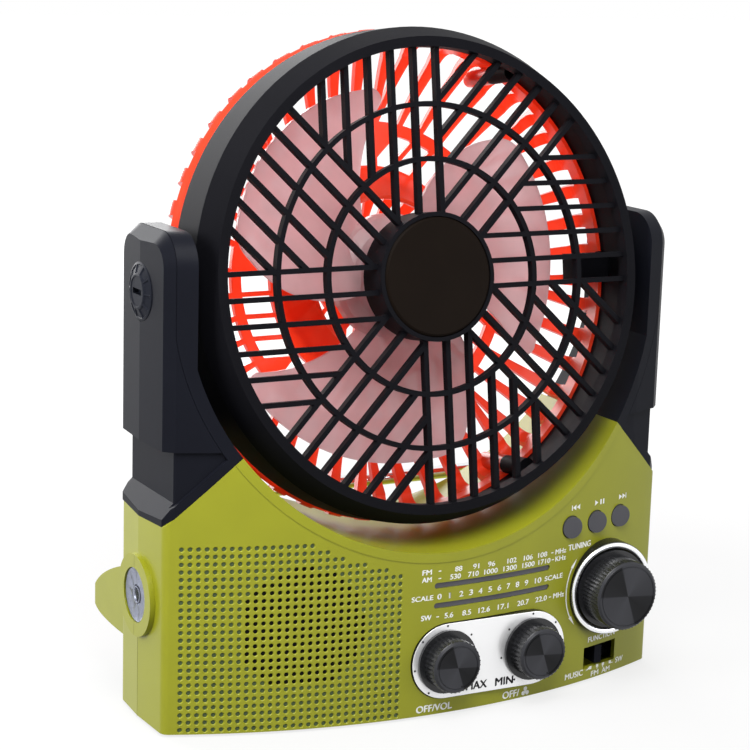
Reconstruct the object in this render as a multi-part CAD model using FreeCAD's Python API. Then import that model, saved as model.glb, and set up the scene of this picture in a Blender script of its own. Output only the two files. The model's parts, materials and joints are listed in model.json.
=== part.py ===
import FreeCAD
import Part
import math
import os

# Rechargeable radio fan, millimetres
# Drawn about the fan's tilt axis and the seam of the radio body, with the ground at z = 0
# The saved pieces are then moved so that the origin is under the middle of the whole product
# +X is the listener's right, -Y is the control front, +Z is up

V = FreeCAD.Vector
X_AXIS = V(1, 0, 0)
Y_AXIS = V(0, 1, 0)
Z_AXIS = V(0, 0, 1)

# Driving sizes of the radio body
half_width = 112.9          # at the seam between the two shells
front_depth = 46.0          # seam to the middle of the bowed front
front_bow_radius = 288.0
front_corner_x = 112.0
back_depth = 29.0           # seam to the middle of the bowed back
back_bow_radius = 790.0
back_corner_x = 111.5
upright_edge_radius = 4.0   # vertical outside edges
wall = 2.4                  # moulded wall of both shells
foot_height = 0.8           # how far the rubber feet stand out
foot_radius = 6.0
foot_places = ((-80, -22), (80, -22), (-96, 14), (96, 14))
side_top_z = 82.0           # where the sloping shoulder starts
cradle_radius = 104.8       # arc that the fan head swings in
cradle_centre_z = 172.0
shoulder_tip_x = 84.3       # where the shoulder meets the cradle arc
cradle_band = 3.8           # raised band along the cradle on the front
cradle_band_rise = 0.3

# Fan head: offsets run back from the lip plane along the fan axis
tilt_axis_z = 169.4
tilt_offset = 28.15         # tilt axis behind the lip plane
rest_lean = 8.63            # degrees that the head leans back in the photograph
lip_inner_radius = 89.1
lip_outer_radius = 93.0
bezel_radius = 97.7
bezel_side_radius = 98.5
bezel_bevel_depth = 11.2
bezel_depth = 29.2          # black bezel ends, rear housing starts
bezel_wall = 2.4
rib_width = 2.0
rib_front = 2.4
rib_back = 5.8
rib_pitch = 10.0
sectors = 8
ribs_in_sector = 6
ring_a_radius = 46.0
ring_b_radius = 67.2
hub_ring_outer = 25.3
hub_ring_inner = 23.6
hub_ring_depth = 14.0
hub_cap_front = -1.0
hub_web_front = 2.6
hub_web_back = 4.6

# Rear housing of the fan head
housing_step = 1.6          # how far the housing lies inside the bezel's side
shoulder_start_offset = 33.5
shoulder_radius = 99.4      # over the rounded ends of the back ribs
shoulder_offset = 38.5
corner_radius_r = 90.0
corner_offset = 46.8
dome_inner_radius = 44.0
dome_offset = 59.0
cup_front_radius = 33.0
cup_front_offset = 44.0
housing_wall = 2.4
back_ring_radius = 61.2
back_ring_width = 4.7
slot_start_offset = 36.0
back_rib_outer = 6.2
back_rib_inner = 2.0
back_rib_pitch = 9.0
post_circle = 92.4
post_radius = 3.8
post_front_offset = 14.0
cover_slots = 24            # air slots in the motor cover

# Fan rotor
blade_count = 3
blade_tip_radius = 75.8
blade_mid_offset = 35.4
blade_half_rise = 7.0
blade_thickness = 1.8
spinner_radius = 25.6
spinner_front = 29.5
spinner_back = 42.8
shaft_radius = 1.6
motor_radius = 18.0

# Arms
arm_inner_x = 100.9         # inner side of the arms above the cradle arc
arm_band = 4.8              # width of the frame band that follows the cradle arc
cover_inner_x = 108.3       # upright joint between the frame and its cover
cover_joint = 0.15
arm_bevel = 4.6             # sloping edge between the side and the front, and up to the top
arm_top_z = 193.9
arm_front_top_radius = 13.0
arm_back_top_radius = 11.0
cover_bottom_z = 112.0
cover_wall = 2.4
cover_gap = 0.3
neck_x = 108.2
neck_recess = 1.6
neck_foot_rise = 8.0        # slope between the foot's side and the neck
foot_border = 3.4           # height of the border along the shoulder
foot_side_height = 2.2
border_bevel = 1.9
arm_back_y = 20.0
running_fit = 0.08          # radial clearance of a shaft in its bore
pivot_bore_radius = 6.0 + running_fit
trunnion_radius = 6.0
pivot_cap_radius = 11.2
pivot_cap_proud = 0.4
tenon_width = 10.0
tenon_depth = 24.0
tenon_length = 12.0

# Controls on the front
knob_left_x = -0.5
knob_right_x = 39.2
knob_z = 22.6
knob_cap_radius = 10.8
knob_skirt_radius = 13.0
knob_teeth = 36
knob_height = 9.4
plate_radius = 15.5
plate_half_width = plate_radius + 0.5
plate_front_y = -46.4
plate_thickness = 1.6
tuning_x = 80.7
tuning_z = 41.0
tuning_ring_radius = 19.6
tuning_ring_width = 2.5
tuning_ring_front_y = -40.6
tuning_skirt_radius = 16.5
tuning_cap_radius = 14.6
tuning_teeth = 56
knurl_depth = 0.45
knurl_twist = 8.0           # degrees that the knurls turn from base to face
tuning_knob_height = 12.4
spindle_radius = 3.0
button_radius = 4.5
button_xs = (60.0, 74.3, 88.6)
button_z = 69.3
button_proud = 1.5
button_travel = 1.0
button_gap = 0.3
slot_left_x = -6.8
slot_right_x = 49.3
slot_height = 2.4
slot_zs = (54.0, 45.8)
switch_left_x = 71.2
switch_right_x = 90.5
switch_low_z = 5.9
switch_high_z = 15.0
slider_x = 80.3
pointer_x = 46.2

# Speaker
speaker_x = -60.0
speaker_z = 42.5
speaker_radius = 28.5
hole_radius = 0.85
hole_pitch = 3.0
hole_col0_x = -105.7
hole_row0_z = 74.5
# First and last column of open holes in each row that has any
open_rows = {3: (14, 16), 4: (12, 19), 5: (10, 20), 6: (9, 21), 7: (8, 22), 8: (8, 22), 9: (8, 22),
             10: (8, 23), 11: (8, 23), 12: (8, 23), 13: (8, 23), 14: (8, 22), 15: (8, 22),
             16: (9, 21), 17: (10, 20), 18: (11, 19)}

# Torch on the left side
torch_z = 50.3
torch_boss_radius = 16.3
torch_boss_rise = 1.6
torch_lens_recess = 0.3
torch_lens_radius = 10.7

# Battery bulge on the back
bulge_half_width = 109.3
bulge_end_radius = 3.0
bulge_low_z = 25.9
bulge_nose_y = 58.6
bulge_nose_z = 33.0
bulge_top_z = 58.2
# Side view of the bulge: distance in front of the nose, and share of the drop or rise from it
bulge_below = ((48.6, 1.0), (31.2, 0.98), (12.2, 0.87), (6.2, 0.72), (2.2, 0.45))
bulge_above = ((0.0, 0.0), (1.6, 0.16), (5.6, 0.317), (10.9, 0.46), (17.4, 0.595), (25.8, 0.738),
               (36.6, 0.881), (48.6, 1.0))
door_half_width = 76.0
door_front_y = 33.0
door_back_y = 54.5
door_gap = 0.3
cell_radius = 9.2
cell_length = 65.0
cell_pitch = 66.4
cell_count = 3
cell_y = 33.5
cell_z = 38.2

# Telescopic antenna behind the cradle
antenna_z = 77.0
antenna_y = 32.5
antenna_pin_x = 76.0
antenna_length = 140.0
antenna_radii = (3.0, 2.3, 1.6)
antenna_tube_wall = 0.45
mount_seat = 0.02           # between the bowed back and what is fixed on it


# Small builders

def box(x0, x1, y0, y1, z0, z1):
    return Part.makeBox(x1 - x0, y1 - y0, z1 - z0, V(x0, y0, z0))


def rod(x, y, z, radius, length, axis=Y_AXIS):
    return Part.makeCylinder(radius, length, V(x, y, z), axis)


def tube(x, y, z, outer, inner, length, axis=Y_AXIS):
    return rod(x, y, z, outer, length, axis).cut(rod(x, y, z, inner, length, axis))


def polygon(points):
    return Part.makePolygon(points + [points[0]])


def prism_xz(points, y0, y1):
    wire = polygon([V(x, y0, z) for x, z in points])
    return Part.Face(wire).extrude(V(0, y1 - y0, 0))


def prism_yz(points, x0, x1):
    wire = polygon([V(x0, y, z) for y, z in points])
    return Part.Face(wire).extrude(V(x1 - x0, 0, 0))


def prism_xy(points, z0, z1):
    wire = polygon([V(x, y, z0) for x, y in points])
    return Part.Face(wire).extrude(V(0, 0, z1 - z0))


def arc(a, b, c):
    return Part.Arc(a, b, c).toShape()


def line(a, b):
    return Part.makeLine(a, b)


def turned(profile):
    """Solid of revolution about the fan axis from (radius, offset) points."""
    wire = polygon([V(r, o - tilt_offset, 0) for r, o in profile])
    return Part.Face(wire).revolve(V(0, 0, 0), Y_AXIS, 360)


def mirrored(shape):
    return shape.mirror(V(0, 0, 0), X_AXIS)


def both_sides(shape):
    return [shape, mirrored(shape)]


def head_place(shape):
    """From the fan's own axes to the photographed lean on the arms."""
    placed = shape.copy()
    placed.rotate(V(0, 0, 0), X_AXIS, -rest_lean)
    placed.translate(V(0, 0, tilt_axis_z))
    return placed


def front_y(x, inset=0.0):
    """Y of the bowed front at x."""
    radius = front_bow_radius - inset
    return front_bow_radius - front_depth - math.sqrt(radius ** 2 - x ** 2)


def back_y(x, inset=0.0):
    """Y of the bowed back at x."""
    radius = back_bow_radius - inset
    return back_depth - back_bow_radius + math.sqrt(radius ** 2 - x ** 2)


# Outline of the radio body, kept in one place for both shells and the arms

def shoulder_direction():
    tip_z = cradle_z(shoulder_tip_x, 0)
    dx = shoulder_tip_x - half_width
    dz = tip_z - side_top_z
    length = math.hypot(dx, dz)
    return dx / length, dz / length


def cradle_z(x, inset):
    return cradle_centre_z - math.sqrt((cradle_radius + inset) ** 2 - x ** 2)


def shoulder_line_point(inset):
    """A point on the shoulder line moved into the body by inset, and its direction."""
    dx, dz = shoulder_direction()
    return half_width - dz * inset, side_top_z + dx * inset, dx, dz


def shoulder_on_side(inset):
    px, pz, dx, dz = shoulder_line_point(inset)
    x = half_width - inset
    return x, pz + (x - px) * dz / dx


def shoulder_on_cradle(inset):
    px, pz, dx, dz = shoulder_line_point(inset)
    pz -= cradle_centre_z
    radius = cradle_radius + inset
    along = px * dx + pz * dz
    root = math.sqrt(along ** 2 - (px ** 2 + pz ** 2 - radius ** 2))
    t = -along - root
    if t < 0:
        t = -along + root
    return px + t * dx, pz + t * dz + cradle_centre_z


def body_prism(inset, y0, y1):
    """Front view of the body, extruded from y0 to y1."""
    side_x, side_z = shoulder_on_side(inset)
    tip_x, tip_z = shoulder_on_cradle(inset)
    low = foot_height + inset
    corners = [V(-tip_x, y0, tip_z), V(-side_x, y0, side_z), V(-side_x, y0, low),
               V(side_x, y0, low), V(side_x, y0, side_z), V(tip_x, y0, tip_z)]
    edges = [line(a, b) for a, b in zip(corners, corners[1:])]
    edges.append(arc(corners[-1], V(0, y0, cradle_z(0, inset)), corners[0]))
    return Part.Face(Part.Wire(edges)).extrude(V(0, y1 - y0, 0))


def plan_prism(inset, z0, z1, front_only_inset=None):
    """Top view of the body, extruded from z0 to z1, with rounded upright edges."""
    front_inset = inset if front_only_inset is None else front_only_inset
    fx = front_corner_x - inset
    bx = back_corner_x - inset
    a = V(-fx, front_y(fx, front_inset), z0)
    b = V(fx, front_y(fx, front_inset), z0)
    c = V(half_width - inset, 0, z0)
    d = V(bx, back_y(bx, inset), z0)
    e = V(-bx, back_y(bx, inset), z0)
    f = V(inset - half_width, 0, z0)
    edges = [arc(a, V(0, front_y(0, front_inset), z0), b), line(b, c), line(c, d),
             arc(d, V(0, back_y(0, inset), z0), e), line(e, f), line(f, a)]
    solid = Part.Face(Part.Wire(edges)).extrude(V(0, 0, z1 - z0))
    radius = upright_edge_radius - inset
    if radius > 0.5:
        corners = [a, b, d, e]
        upright = [edge for edge in solid.Edges if is_upright_at(edge, corners)]
        solid = solid.makeFillet(radius, upright)
    return solid


def is_upright_at(edge, corners):
    first, last = edge.Vertexes[0].Point, edge.Vertexes[-1].Point
    if abs(first.x - last.x) > 0.01 or abs(first.y - last.y) > 0.01:
        return False
    return any(math.hypot(first.x - c.x, first.y - c.y) < 0.05 for c in corners)


def body_block(inset):
    return body_prism(inset, -60, 40).common(plan_prism(inset, -5, 130))


# Radio body shells

def bulge_points(inset):
    """Side view points of the bulge, moved square to the outline by inset."""
    drop, rise = bulge_nose_z - bulge_low_z, bulge_top_z - bulge_nose_z
    points = [(bulge_nose_y - back, bulge_nose_z - share * drop) for back, share in bulge_below]
    points += [(bulge_nose_y - back, bulge_nose_z + share * rise) for back, share in bulge_above]
    moved = []
    last = len(points) - 1
    for i, (y, z) in enumerate(points):
        ahead, behind = points[min(i + 1, last)], points[max(i - 1, 0)]
        dy, dz = ahead[0] - behind[0], ahead[1] - behind[1]
        length = math.hypot(dy, dz)
        moved.append((y - dz / length * inset, z + dy / length * inset))
    return moved


def bulge_section(inset, x0, x1):
    """Side view of the battery bulge: nearly flat below, rounded nose, arched top."""
    points = [V(x0, y, z) for y, z in bulge_points(inset)]
    curve = Part.BSplineCurve()
    curve.interpolate(points)
    edges = [curve.toShape(), line(points[-1], points[0])]
    return Part.Face(Part.Wire(edges)).extrude(V(x1 - x0, 0, 0))


def bulge_plan(inset):
    """Top view of the bulge, with round ends."""
    x1, y1 = bulge_half_width - inset, bulge_nose_y - inset
    r = bulge_end_radius - inset
    bend = r * (1 - math.sqrt(0.5))
    a, b = V(-x1, 10, 0), V(x1, 10, 0)
    c, d = V(x1, y1 - r, 0), V(x1 - r, y1, 0)
    e, f = V(r - x1, y1, 0), V(-x1, y1 - r, 0)
    edges = [line(a, b), line(b, c), arc(c, V(x1 - bend, y1 - bend, 0), d), line(d, e),
             arc(e, V(bend - x1, y1 - bend, 0), f), line(f, a)]
    return Part.Face(Part.Wire(edges)).extrude(V(0, 0, 80))


def bulge(inset):
    return bulge_section(inset, -bulge_half_width, bulge_half_width).common(bulge_plan(inset))


def post_places():
    return [(-101.0, 12.0), (101.0, 9.0), (-97.0, 82.0), (97.0, 82.0)]


def body_shells():
    outer = body_block(0).fuse(bulge(0))
    inner = body_block(wall).fuse(bulge(wall))
    hollow = outer.cut(inner)
    front = hollow.common(box(-130, 130, -70, 0, -5, 130))
    back = hollow.common(box(-130, 130, 0, 70, -5, 130))
    for x, z in post_places():
        ceiling = body_block(0)
        front = front.fuse(rod(x, -45, z, 4.0, 45).common(ceiling))
        back = back.fuse(rod(x, 0, z, 4.0, 40).common(ceiling))
        front = front.cut(rod(x, -14, z, 1.3, 14))
        back = back.cut(rod(x, 0, z, 1.7, 40))
        back = back.cut(rod(x, back_y(x) - 4.0, z, 3.2, 20))
    return front, back


def speaker_axis():
    """The speaker stands square to the bowed front."""
    angle = math.asin(speaker_x / front_bow_radius)
    return V(-math.sin(angle), math.cos(angle), 0)


def speaker_point(depth):
    """Point on the speaker's axis, at a depth behind the outer face."""
    axis = speaker_axis()
    return V(speaker_x + axis.x * depth, front_y(speaker_x) + axis.y * depth, speaker_z)


def speaker_rod(radius, depth, length):
    return Part.makeCylinder(radius, length, speaker_point(depth), speaker_axis())


def speaker_cone_shape(front_radius, back_radius, depth, length):
    return Part.makeCone(front_radius, back_radius, length, speaker_point(depth), speaker_axis())


def speaker_seat_depth():
    """Flat seat whose rim is one wall behind the bowed face."""
    half = speaker_radius + 1.0
    return wall + front_bow_radius - math.sqrt(front_bow_radius ** 2 - half ** 2)


def speaker_hole_tool():
    """Six-sided holes through the wall, one for each open place in the grid."""
    tools = []
    for row, (first, last) in open_rows.items():
        for column in range(first, last + 1):
            x = hole_col0_x + column * hole_pitch
            z = hole_row0_z - row * hole_pitch
            points = [(x + hole_radius * math.cos(a), z + hole_radius * math.sin(a))
                      for a in ((k + 0.5) * math.pi / 3 for k in range(6))]
            tools.append(prism_xz(points, front_y(x) - 2, front_y(x) + 7))
    return Part.makeCompound(tools)


def stadium(x0, x1, z, radius, y0, y1):
    """Slot shape with round ends whose centres are at x0 and x1."""
    a, b = V(x0, y0, z - radius), V(x1, y0, z - radius)
    c, d = V(x1, y0, z + radius), V(x0, y0, z + radius)
    edges = [line(a, b), arc(b, V(x1 + radius, y0, z), c), line(c, d), arc(d, V(x0 - radius, y0, z), a)]
    return Part.Face(Part.Wire(edges)).extrude(V(0, y1 - y0, 0))


def plate_stadium(radius, y0, y1):
    return stadium(knob_left_x, knob_right_x, knob_z, radius, y0, y1)


def front_shell(front):
    # Raised band along the cradle
    ring = tube(0, -60, cradle_centre_z, cradle_radius + cradle_band, cradle_radius, 30)
    skin = body_prism(0, -60, -10).common(plan_prism(0, -5, 130, -cradle_band_rise))
    front = front.fuse(skin.common(ring).cut(body_block(0.2)))
    # Opening for the knob plate, with a ledge behind it
    front = front.fuse(plate_stadium(plate_radius + 1.2, front_y(0) + 0.6, -36.5).cut(
        plate_stadium(plate_radius - 1.2, -60, -30)).common(plan_prism(-0.01, -5, 130, -0.01)))
    front = front.cut(plate_stadium(plate_radius + 0.25, -60, plate_front_y + 3.0))
    front = front.cut(plate_stadium(plate_radius - 1.2, -60, -30))
    # Round pod that carries the tuning ring square to the front
    pod_front = tuning_ring_front_y + 1.0
    pod = rod(tuning_x, pod_front, tuning_z, tuning_ring_radius - 0.6, front_y(tuning_x) + 4 - pod_front)
    front = front.fuse(pod)
    front = front.cut(rod(tuning_x, -60, tuning_z, tuning_skirt_radius + 0.6, 60))
    front = front.fuse(tube(tuning_x, -31.5, tuning_z, tuning_ring_radius - 0.6, 4.0, 2.0))
    # Button holes
    for x in button_xs:
        front = front.cut(rod(x, -60, button_z, button_radius + button_gap, 50))
    # Dial slots and the function window
    for z in slot_zs:
        r = slot_height / 2
        front = front.cut(stadium(slot_left_x + r, slot_right_x - r, z, r, -60, -38))
    front = front.cut(box(switch_left_x, switch_right_x, -60, -20, switch_low_z, switch_high_z))
    seat = speaker_rod(speaker_radius + 1.0, -4.0, 4.0 + speaker_seat_depth())
    front = front.fuse(seat.common(body_block(0.01)))
    front = front.cut(speaker_hole_tool())
    front = front.multiFuse(board_posts())
    # Torch boss and its bore, half in each shell
    return torch_cut(front, box(-130, 0, -70, 0, 0, 130))


def torch_cut(shell, half):
    boss = rod(-half_width - torch_boss_rise, 0, torch_z, torch_boss_radius, 8, X_AXIS)
    bore = rod(-half_width - 6, 0, torch_z, torch_lens_radius + 0.2, 20, X_AXIS)
    return shell.fuse(boss.common(half)).cut(bore)


def rear_shell(back):
    back = torch_cut(back, box(-130, 0, 0, 70, 0, 130))
    # Seats for the battery cells
    for k in range(cell_count + 1):
        x = (k - cell_count / 2) * cell_pitch
        rib = box(x - 0.6, x + 0.6, 22, 60, cell_z - 16, cell_z + 6).common(bulge(0.4))
        back = back.fuse(rib.common(rod(x - 5, cell_y, cell_z, cell_radius + 9, 10, X_AXIS)))
    # Door opening in the top of the bulge, and the two sockets
    back = back.cut(door_box(door_gap))
    back = back.cut(box(socket_usb_x - 6.8, socket_usb_x + 6.8, 10, 40, socket_z - 3.2, socket_z + 3.2))
    back = back.cut(rod(socket_dc_x, 10, socket_z, 4.2, 30))
    return back


socket_usb_x = 40.0
socket_dc_x = 64.0
socket_z = 14.0


def door_box(grow):
    return box(-door_half_width - grow, door_half_width + grow, door_front_y - grow,
               door_back_y + grow, bulge_nose_z + 1, bulge_top_z + 5)


def battery_door():
    wall_ring = bulge(0).cut(bulge(wall))
    return wall_ring.common(door_box(0))


def rubber_feet():
    feet = []
    for x, y in foot_places:
        feet.append(rod(x, y, 0, foot_radius, foot_height, Z_AXIS))
    return feet


def body_screws():
    screws = []
    for x, z in post_places():
        seat = back_y(x) - 4.0
        head = rod(x, seat, z, 2.8, 2.0)
        screws.append(head.fuse(rod(x, -10, z, 1.25, seat + 10)))
    return screws


# Parts inside the radio body

def speaker_frame():
    seat = speaker_seat_depth()
    rim = speaker_rod(speaker_radius, seat, 2.0).cut(speaker_rod(24.5, seat - 1, 4.0))
    basket = speaker_cone_shape(25.5, 12.0, seat + 1.2, 11.8)
    return rim.fuse(basket.cut(speaker_cone_shape(24.3, 10.8, seat + 1.2, 11.8)))


def speaker_cone():
    front = speaker_seat_depth() + 1.4
    cone = speaker_cone_shape(23.3, 8.0, front, 8.5)
    cone = cone.cut(speaker_cone_shape(22.5, 7.2, front, 8.5))
    dome = Part.makeSphere(18.3, speaker_point(front + 20.0))
    return cone.fuse(dome.common(speaker_rod(12.0, front, 6.2)))


def speaker_magnet():
    back = speaker_seat_depth() + 13.2
    return speaker_rod(16.0, back, 9.0).fuse(speaker_rod(12.0, back + 9.0, 1.5))


board_y = -11.0
board_thickness = 1.6
board_top_z = 62.0


def main_board():
    board = box(-16, 96, board_y, board_y + board_thickness, 6, board_top_z)
    board = board.fuse(box(52, 97, board_y, board_y + board_thickness, board_top_z - 1, 75))
    chips = [box(8, 20, board_y - 2.2, board_y, 40, 52), box(28, 36, board_y - 1.6, board_y, 44, 52),
             box(-9, 1, board_y - 9, board_y, 46, 56)]
    for chip in chips:
        board = board.fuse(chip)
    return board


def board_posts():
    """Posts moulded on the front shell that the main board is screwed to."""
    posts = []
    for x, z in ((-13, 60), (93, 59), (-13, 9), (63, 9)):
        posts.append(rod(x, front_y(x) + 1, z, 2.5, board_y - front_y(x) - 1))
    return posts


def potentiometer(x):
    face = plate_front_y + plate_thickness + 0.2
    body = rod(x, face + 5.5, knob_z, 8.0, 9.0)
    bush = rod(x, face, knob_z, 4.4, 5.5)
    body = body.fuse(bush).cut(rod(x, face, knob_z, spindle_radius + running_fit, 9.4))
    for dx in (-5, 0, 5):
        pin = box(x + dx - 0.8, x + dx + 0.8, face + 12, board_y, knob_z - 6.4, knob_z - 5.4)
        body = body.fuse(pin)
    return body


def knob_shaft(x):
    face = plate_front_y + plate_thickness + 0.2
    return rod(x, plate_front_y - 6.0, knob_z, spindle_radius, face + 9.0 - plate_front_y + 6.0)


def knob_plate():
    front = plate_stadium(plate_radius, plate_front_y, plate_front_y + plate_thickness)
    rim = plate_stadium(plate_radius, plate_front_y, plate_front_y + 2.9).cut(
        plate_stadium(plate_radius - 1.0, -60, 0))
    plate = front.fuse(rim)
    for x in (knob_left_x, knob_right_x):
        plate = plate.cut(rod(x, -60, knob_z, 4.6, 60))
    return plate


def toothed(x, z, radius, teeth, turn, y):
    """Closed toothed outline in front view."""
    points = []
    for k in range(2 * teeth):
        a = math.pi * k / teeth + math.radians(turn)
        r = radius if k % 2 == 0 else radius - knurl_depth
        points.append(V(x + r * math.cos(a), y, z + r * math.sin(a)))
    return polygon(points)


def knurled(x, z, radius, teeth, y_face, y_base):
    """Knob cap with slanting knurls, a smooth rim at the face and a fine line round the cap."""
    rim = 0.9
    outlines = [toothed(x, z, radius, teeth, knurl_twist, y_face + rim), toothed(x, z, radius, teeth, 0, y_base)]
    cap = Part.makeLoft(outlines, True, True)
    cap = cap.fuse(Part.makeCone(radius - 1.1, radius - 0.25, rim, V(x, y_face, z), Y_AXIS))
    return cap.cut(tube(x, y_face, z, radius - 1.9, radius - 2.3, 0.25))


def control_knob(x):
    """Skirted knob with a knurled side and a flat cap."""
    skirt = rod(x, plate_front_y - 1.6, knob_z, knob_skirt_radius, 1.2)
    knob = skirt.fuse(knurled(x, knob_z, knob_cap_radius, knob_teeth, plate_front_y - knob_height,
                              plate_front_y - 1.5))
    knob = knob.cut(rod(x, plate_front_y - 6.0, knob_z, spindle_radius, 10.0))
    pit = rod(x + 2.0, plate_front_y - knob_height, knob_z - knob_cap_radius + 2.9, 0.45, 0.4)
    return knob.cut(pit)


def tuning_ring():
    return tube(tuning_x, tuning_ring_front_y, tuning_z, tuning_ring_radius,
                tuning_ring_radius - tuning_ring_width, 1.0)


def tuning_knob():
    face = tuning_ring_front_y - tuning_knob_height
    skirt = rod(tuning_x, tuning_ring_front_y - 1.0, tuning_z, tuning_skirt_radius, 4.0)
    knob = skirt.fuse(knurled(tuning_x, tuning_z, tuning_cap_radius, tuning_teeth, face,
                              tuning_ring_front_y - 0.9))
    return knob.cut(rod(tuning_x, face + 3.0, tuning_z, spindle_radius, 20.0))


drum_radius = 16.9
drum_y = -28.0


def tuning_shaft():
    """Spindle with the drum that pulls the dial pointer along."""
    face = tuning_ring_front_y - tuning_knob_height
    spindle = rod(tuning_x, face + 3.0, tuning_z, spindle_radius, drum_y + 10.0 - face - 3.0)
    drum = rod(tuning_x, drum_y, tuning_z, drum_radius, 4.0)
    groove = tube(tuning_x, drum_y + 1.3, tuning_z, drum_radius + 1, drum_radius - 1.2, 1.4)
    return drum.cut(groove).fuse(spindle)


def tuning_capacitor():
    body = box(tuning_x - 10, tuning_x + 10, drum_y + 4.3, board_y, tuning_z - 10, tuning_z + 10)
    bore = rod(tuning_x, drum_y, tuning_z, spindle_radius + running_fit, 10.3)
    return body.cut(bore)


def skin(depth, thickness):
    """Layer of the body, thickness thick, at a depth below its outer face."""
    return body_block(depth).cut(body_block(depth + thickness))


def dial_windows():
    """Clear strips that fill the two dial slots, with a flange behind the wall."""
    strips = []
    for z in slot_zs:
        r = slot_height / 2 - 0.1
        lens = stadium(slot_left_x + slot_height / 2, slot_right_x - slot_height / 2, z, r, -60, -30)
        flange = box(slot_left_x - 2, slot_right_x + 2, -60, -30, z - 2.6, z + 2.6)
        strips.append(lens.common(skin(0.6, wall)).fuse(flange.common(skin(wall + 0.15, 0.85))))
    return strips


pointer_y = front_y(slot_right_x) + wall + 1.4


def dial_pointer():
    plate = box(pointer_x - 2.6, pointer_x + 2.6, pointer_y, pointer_y + 1.2, 41.0, 57.4)
    carriage = box(pointer_x - 4, pointer_x + 4, pointer_y + 1.0, pointer_y + 3.6, 41.0, 46.0)
    return plate.fuse(carriage).cut(box(-30, 80, pointer_y + 1.7, pointer_y + 2.9, 42.5, 44.5))


def dial_rail():
    rail = box(-14, 58, pointer_y + 2.0, pointer_y + 2.6, 42.8, 44.2)
    for x in (-14, 55.5):
        rail = rail.fuse(box(x, x + 2.5, pointer_y + 2.0, board_y, 42.8, 44.2))
    return rail


def button(x):
    top = front_y(x) - button_proud
    stem = rod(x, top, button_z, button_radius, 6.5)
    flange = rod(x, front_y(x) + wall + 3.2, button_z, button_radius + 1.0, 1.2)
    return stem.fuse(rod(x, top + 6.0, button_z, 2.6, front_y(x) + wall + 4.4 - top - 6.0)).fuse(flange)


def button_board():
    y0 = front_y(button_xs[2]) + wall + 9.0
    board = box(52, 97, y0, y0 + 1.6, 63.5, 74.5)
    for x in button_xs:
        contact = front_y(x) + wall + 4.4 + button_travel + 0.2
        board = board.fuse(rod(x, contact, button_z, 2.0, y0 - contact))
    for x in (54, 95):
        board = board.fuse(rod(x, y0, button_z, 1.8, board_y - y0))
    return board


def function_switch():
    y0 = front_y(switch_right_x) + wall + 1.0
    body = box(switch_left_x - 3, switch_right_x + 3, y0 + 3.0, y0 + 9.0, switch_low_z, switch_high_z)
    for x in (switch_left_x, (switch_left_x + switch_right_x) / 2, switch_right_x):
        body = body.fuse(box(x - 1, x + 1, y0 + 8.0, board_y, 9.5, 10.5))
    return body.cut(box(switch_left_x, switch_right_x, y0 + 2.0, y0 + 6.0, 8.4, 12.6))


def function_slider():
    y0 = front_y(switch_right_x) + wall + 1.0
    grip = box(slider_x - 1.7, slider_x + 1.7, front_y(slider_x) + 0.5, y0 + 2.1, 6.6, 14.2)
    shoe = box(slider_x - 4.0, slider_x + 4.0, y0 + 2.0, y0 + 2.8, 6.6, 14.2)
    tongue = box(slider_x - 2.0, slider_x + 2.0, y0 + 2.8, y0 + 5.6, 8.7, 12.3)
    return grip.fuse(shoe).fuse(tongue)


def torch_face_x():
    return -half_width - torch_boss_rise + torch_lens_recess


def torch_reflector():
    x0 = torch_face_x() + 1.3
    cup = Part.makeCone(torch_lens_radius, 5.0, 9.0, V(x0, 0, torch_z), X_AXIS)
    hollow = Part.makeCone(torch_lens_radius - 0.8, 4.2, 9.0, V(x0, 0, torch_z), X_AXIS)
    return cup.cut(hollow)


def torch_lens():
    return rod(torch_face_x(), 0, torch_z, torch_lens_radius, 1.2, X_AXIS)


def torch_led():
    """Round lamp at the bottom of the reflector, on its own little board."""
    x0 = torch_face_x() + 7.3
    led = rod(x0, 0, torch_z, 2.6, 3.6, X_AXIS).fuse(Part.makeSphere(2.6, V(x0, 0, torch_z)))
    return led.fuse(box(x0 + 3.3, x0 + 4.9, -8, 8, torch_z - 8, torch_z + 8))


def battery_cells():
    cells = []
    for k in range(cell_count):
        x = (k - (cell_count - 1) / 2) * cell_pitch - cell_length / 2
        cell = rod(x, cell_y, cell_z, cell_radius, cell_length - 1.0, X_AXIS)
        cells.append(cell.fuse(rod(x, cell_y, cell_z, 3.0, cell_length, X_AXIS)))
    return cells


def power_board():
    y0 = back_y(socket_dc_x) - wall - 14.5
    board = box(22, 80, y0, y0 + 1.6, 5.0, 22.0)
    return board.fuse(box(28, 34, y0 - 6, y0, 8, 18))


def usb_socket():
    y0 = back_y(socket_dc_x) - wall - 12.9
    shell = box(socket_usb_x - 6.5, socket_usb_x + 6.5, y0, y0 + 13.5, socket_z - 2.9, socket_z + 2.9)
    return shell.cut(box(socket_usb_x - 5.9, socket_usb_x + 5.9, y0 + 3, y0 + 20,
                         socket_z - 2.3, socket_z + 2.3))


def dc_socket():
    y0 = back_y(socket_dc_x) - wall - 12.9
    body = box(socket_dc_x - 4.5, socket_dc_x + 4.5, y0, y0 + 12.0, socket_z - 5, socket_z + 5)
    body = body.fuse(rod(socket_dc_x, y0 + 12.0, socket_z, 4.0, 1.8))
    body = body.cut(rod(socket_dc_x, y0 + 4.0, socket_z, 2.8, 20))
    return body.fuse(rod(socket_dc_x, y0 + 2.0, socket_z, 1.0, 10.0))


# Arms: the right one is drawn, the left one is its mirror image

def arc_x(z, radius):
    return math.sqrt(radius ** 2 - (z - cradle_centre_z) ** 2)


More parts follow.
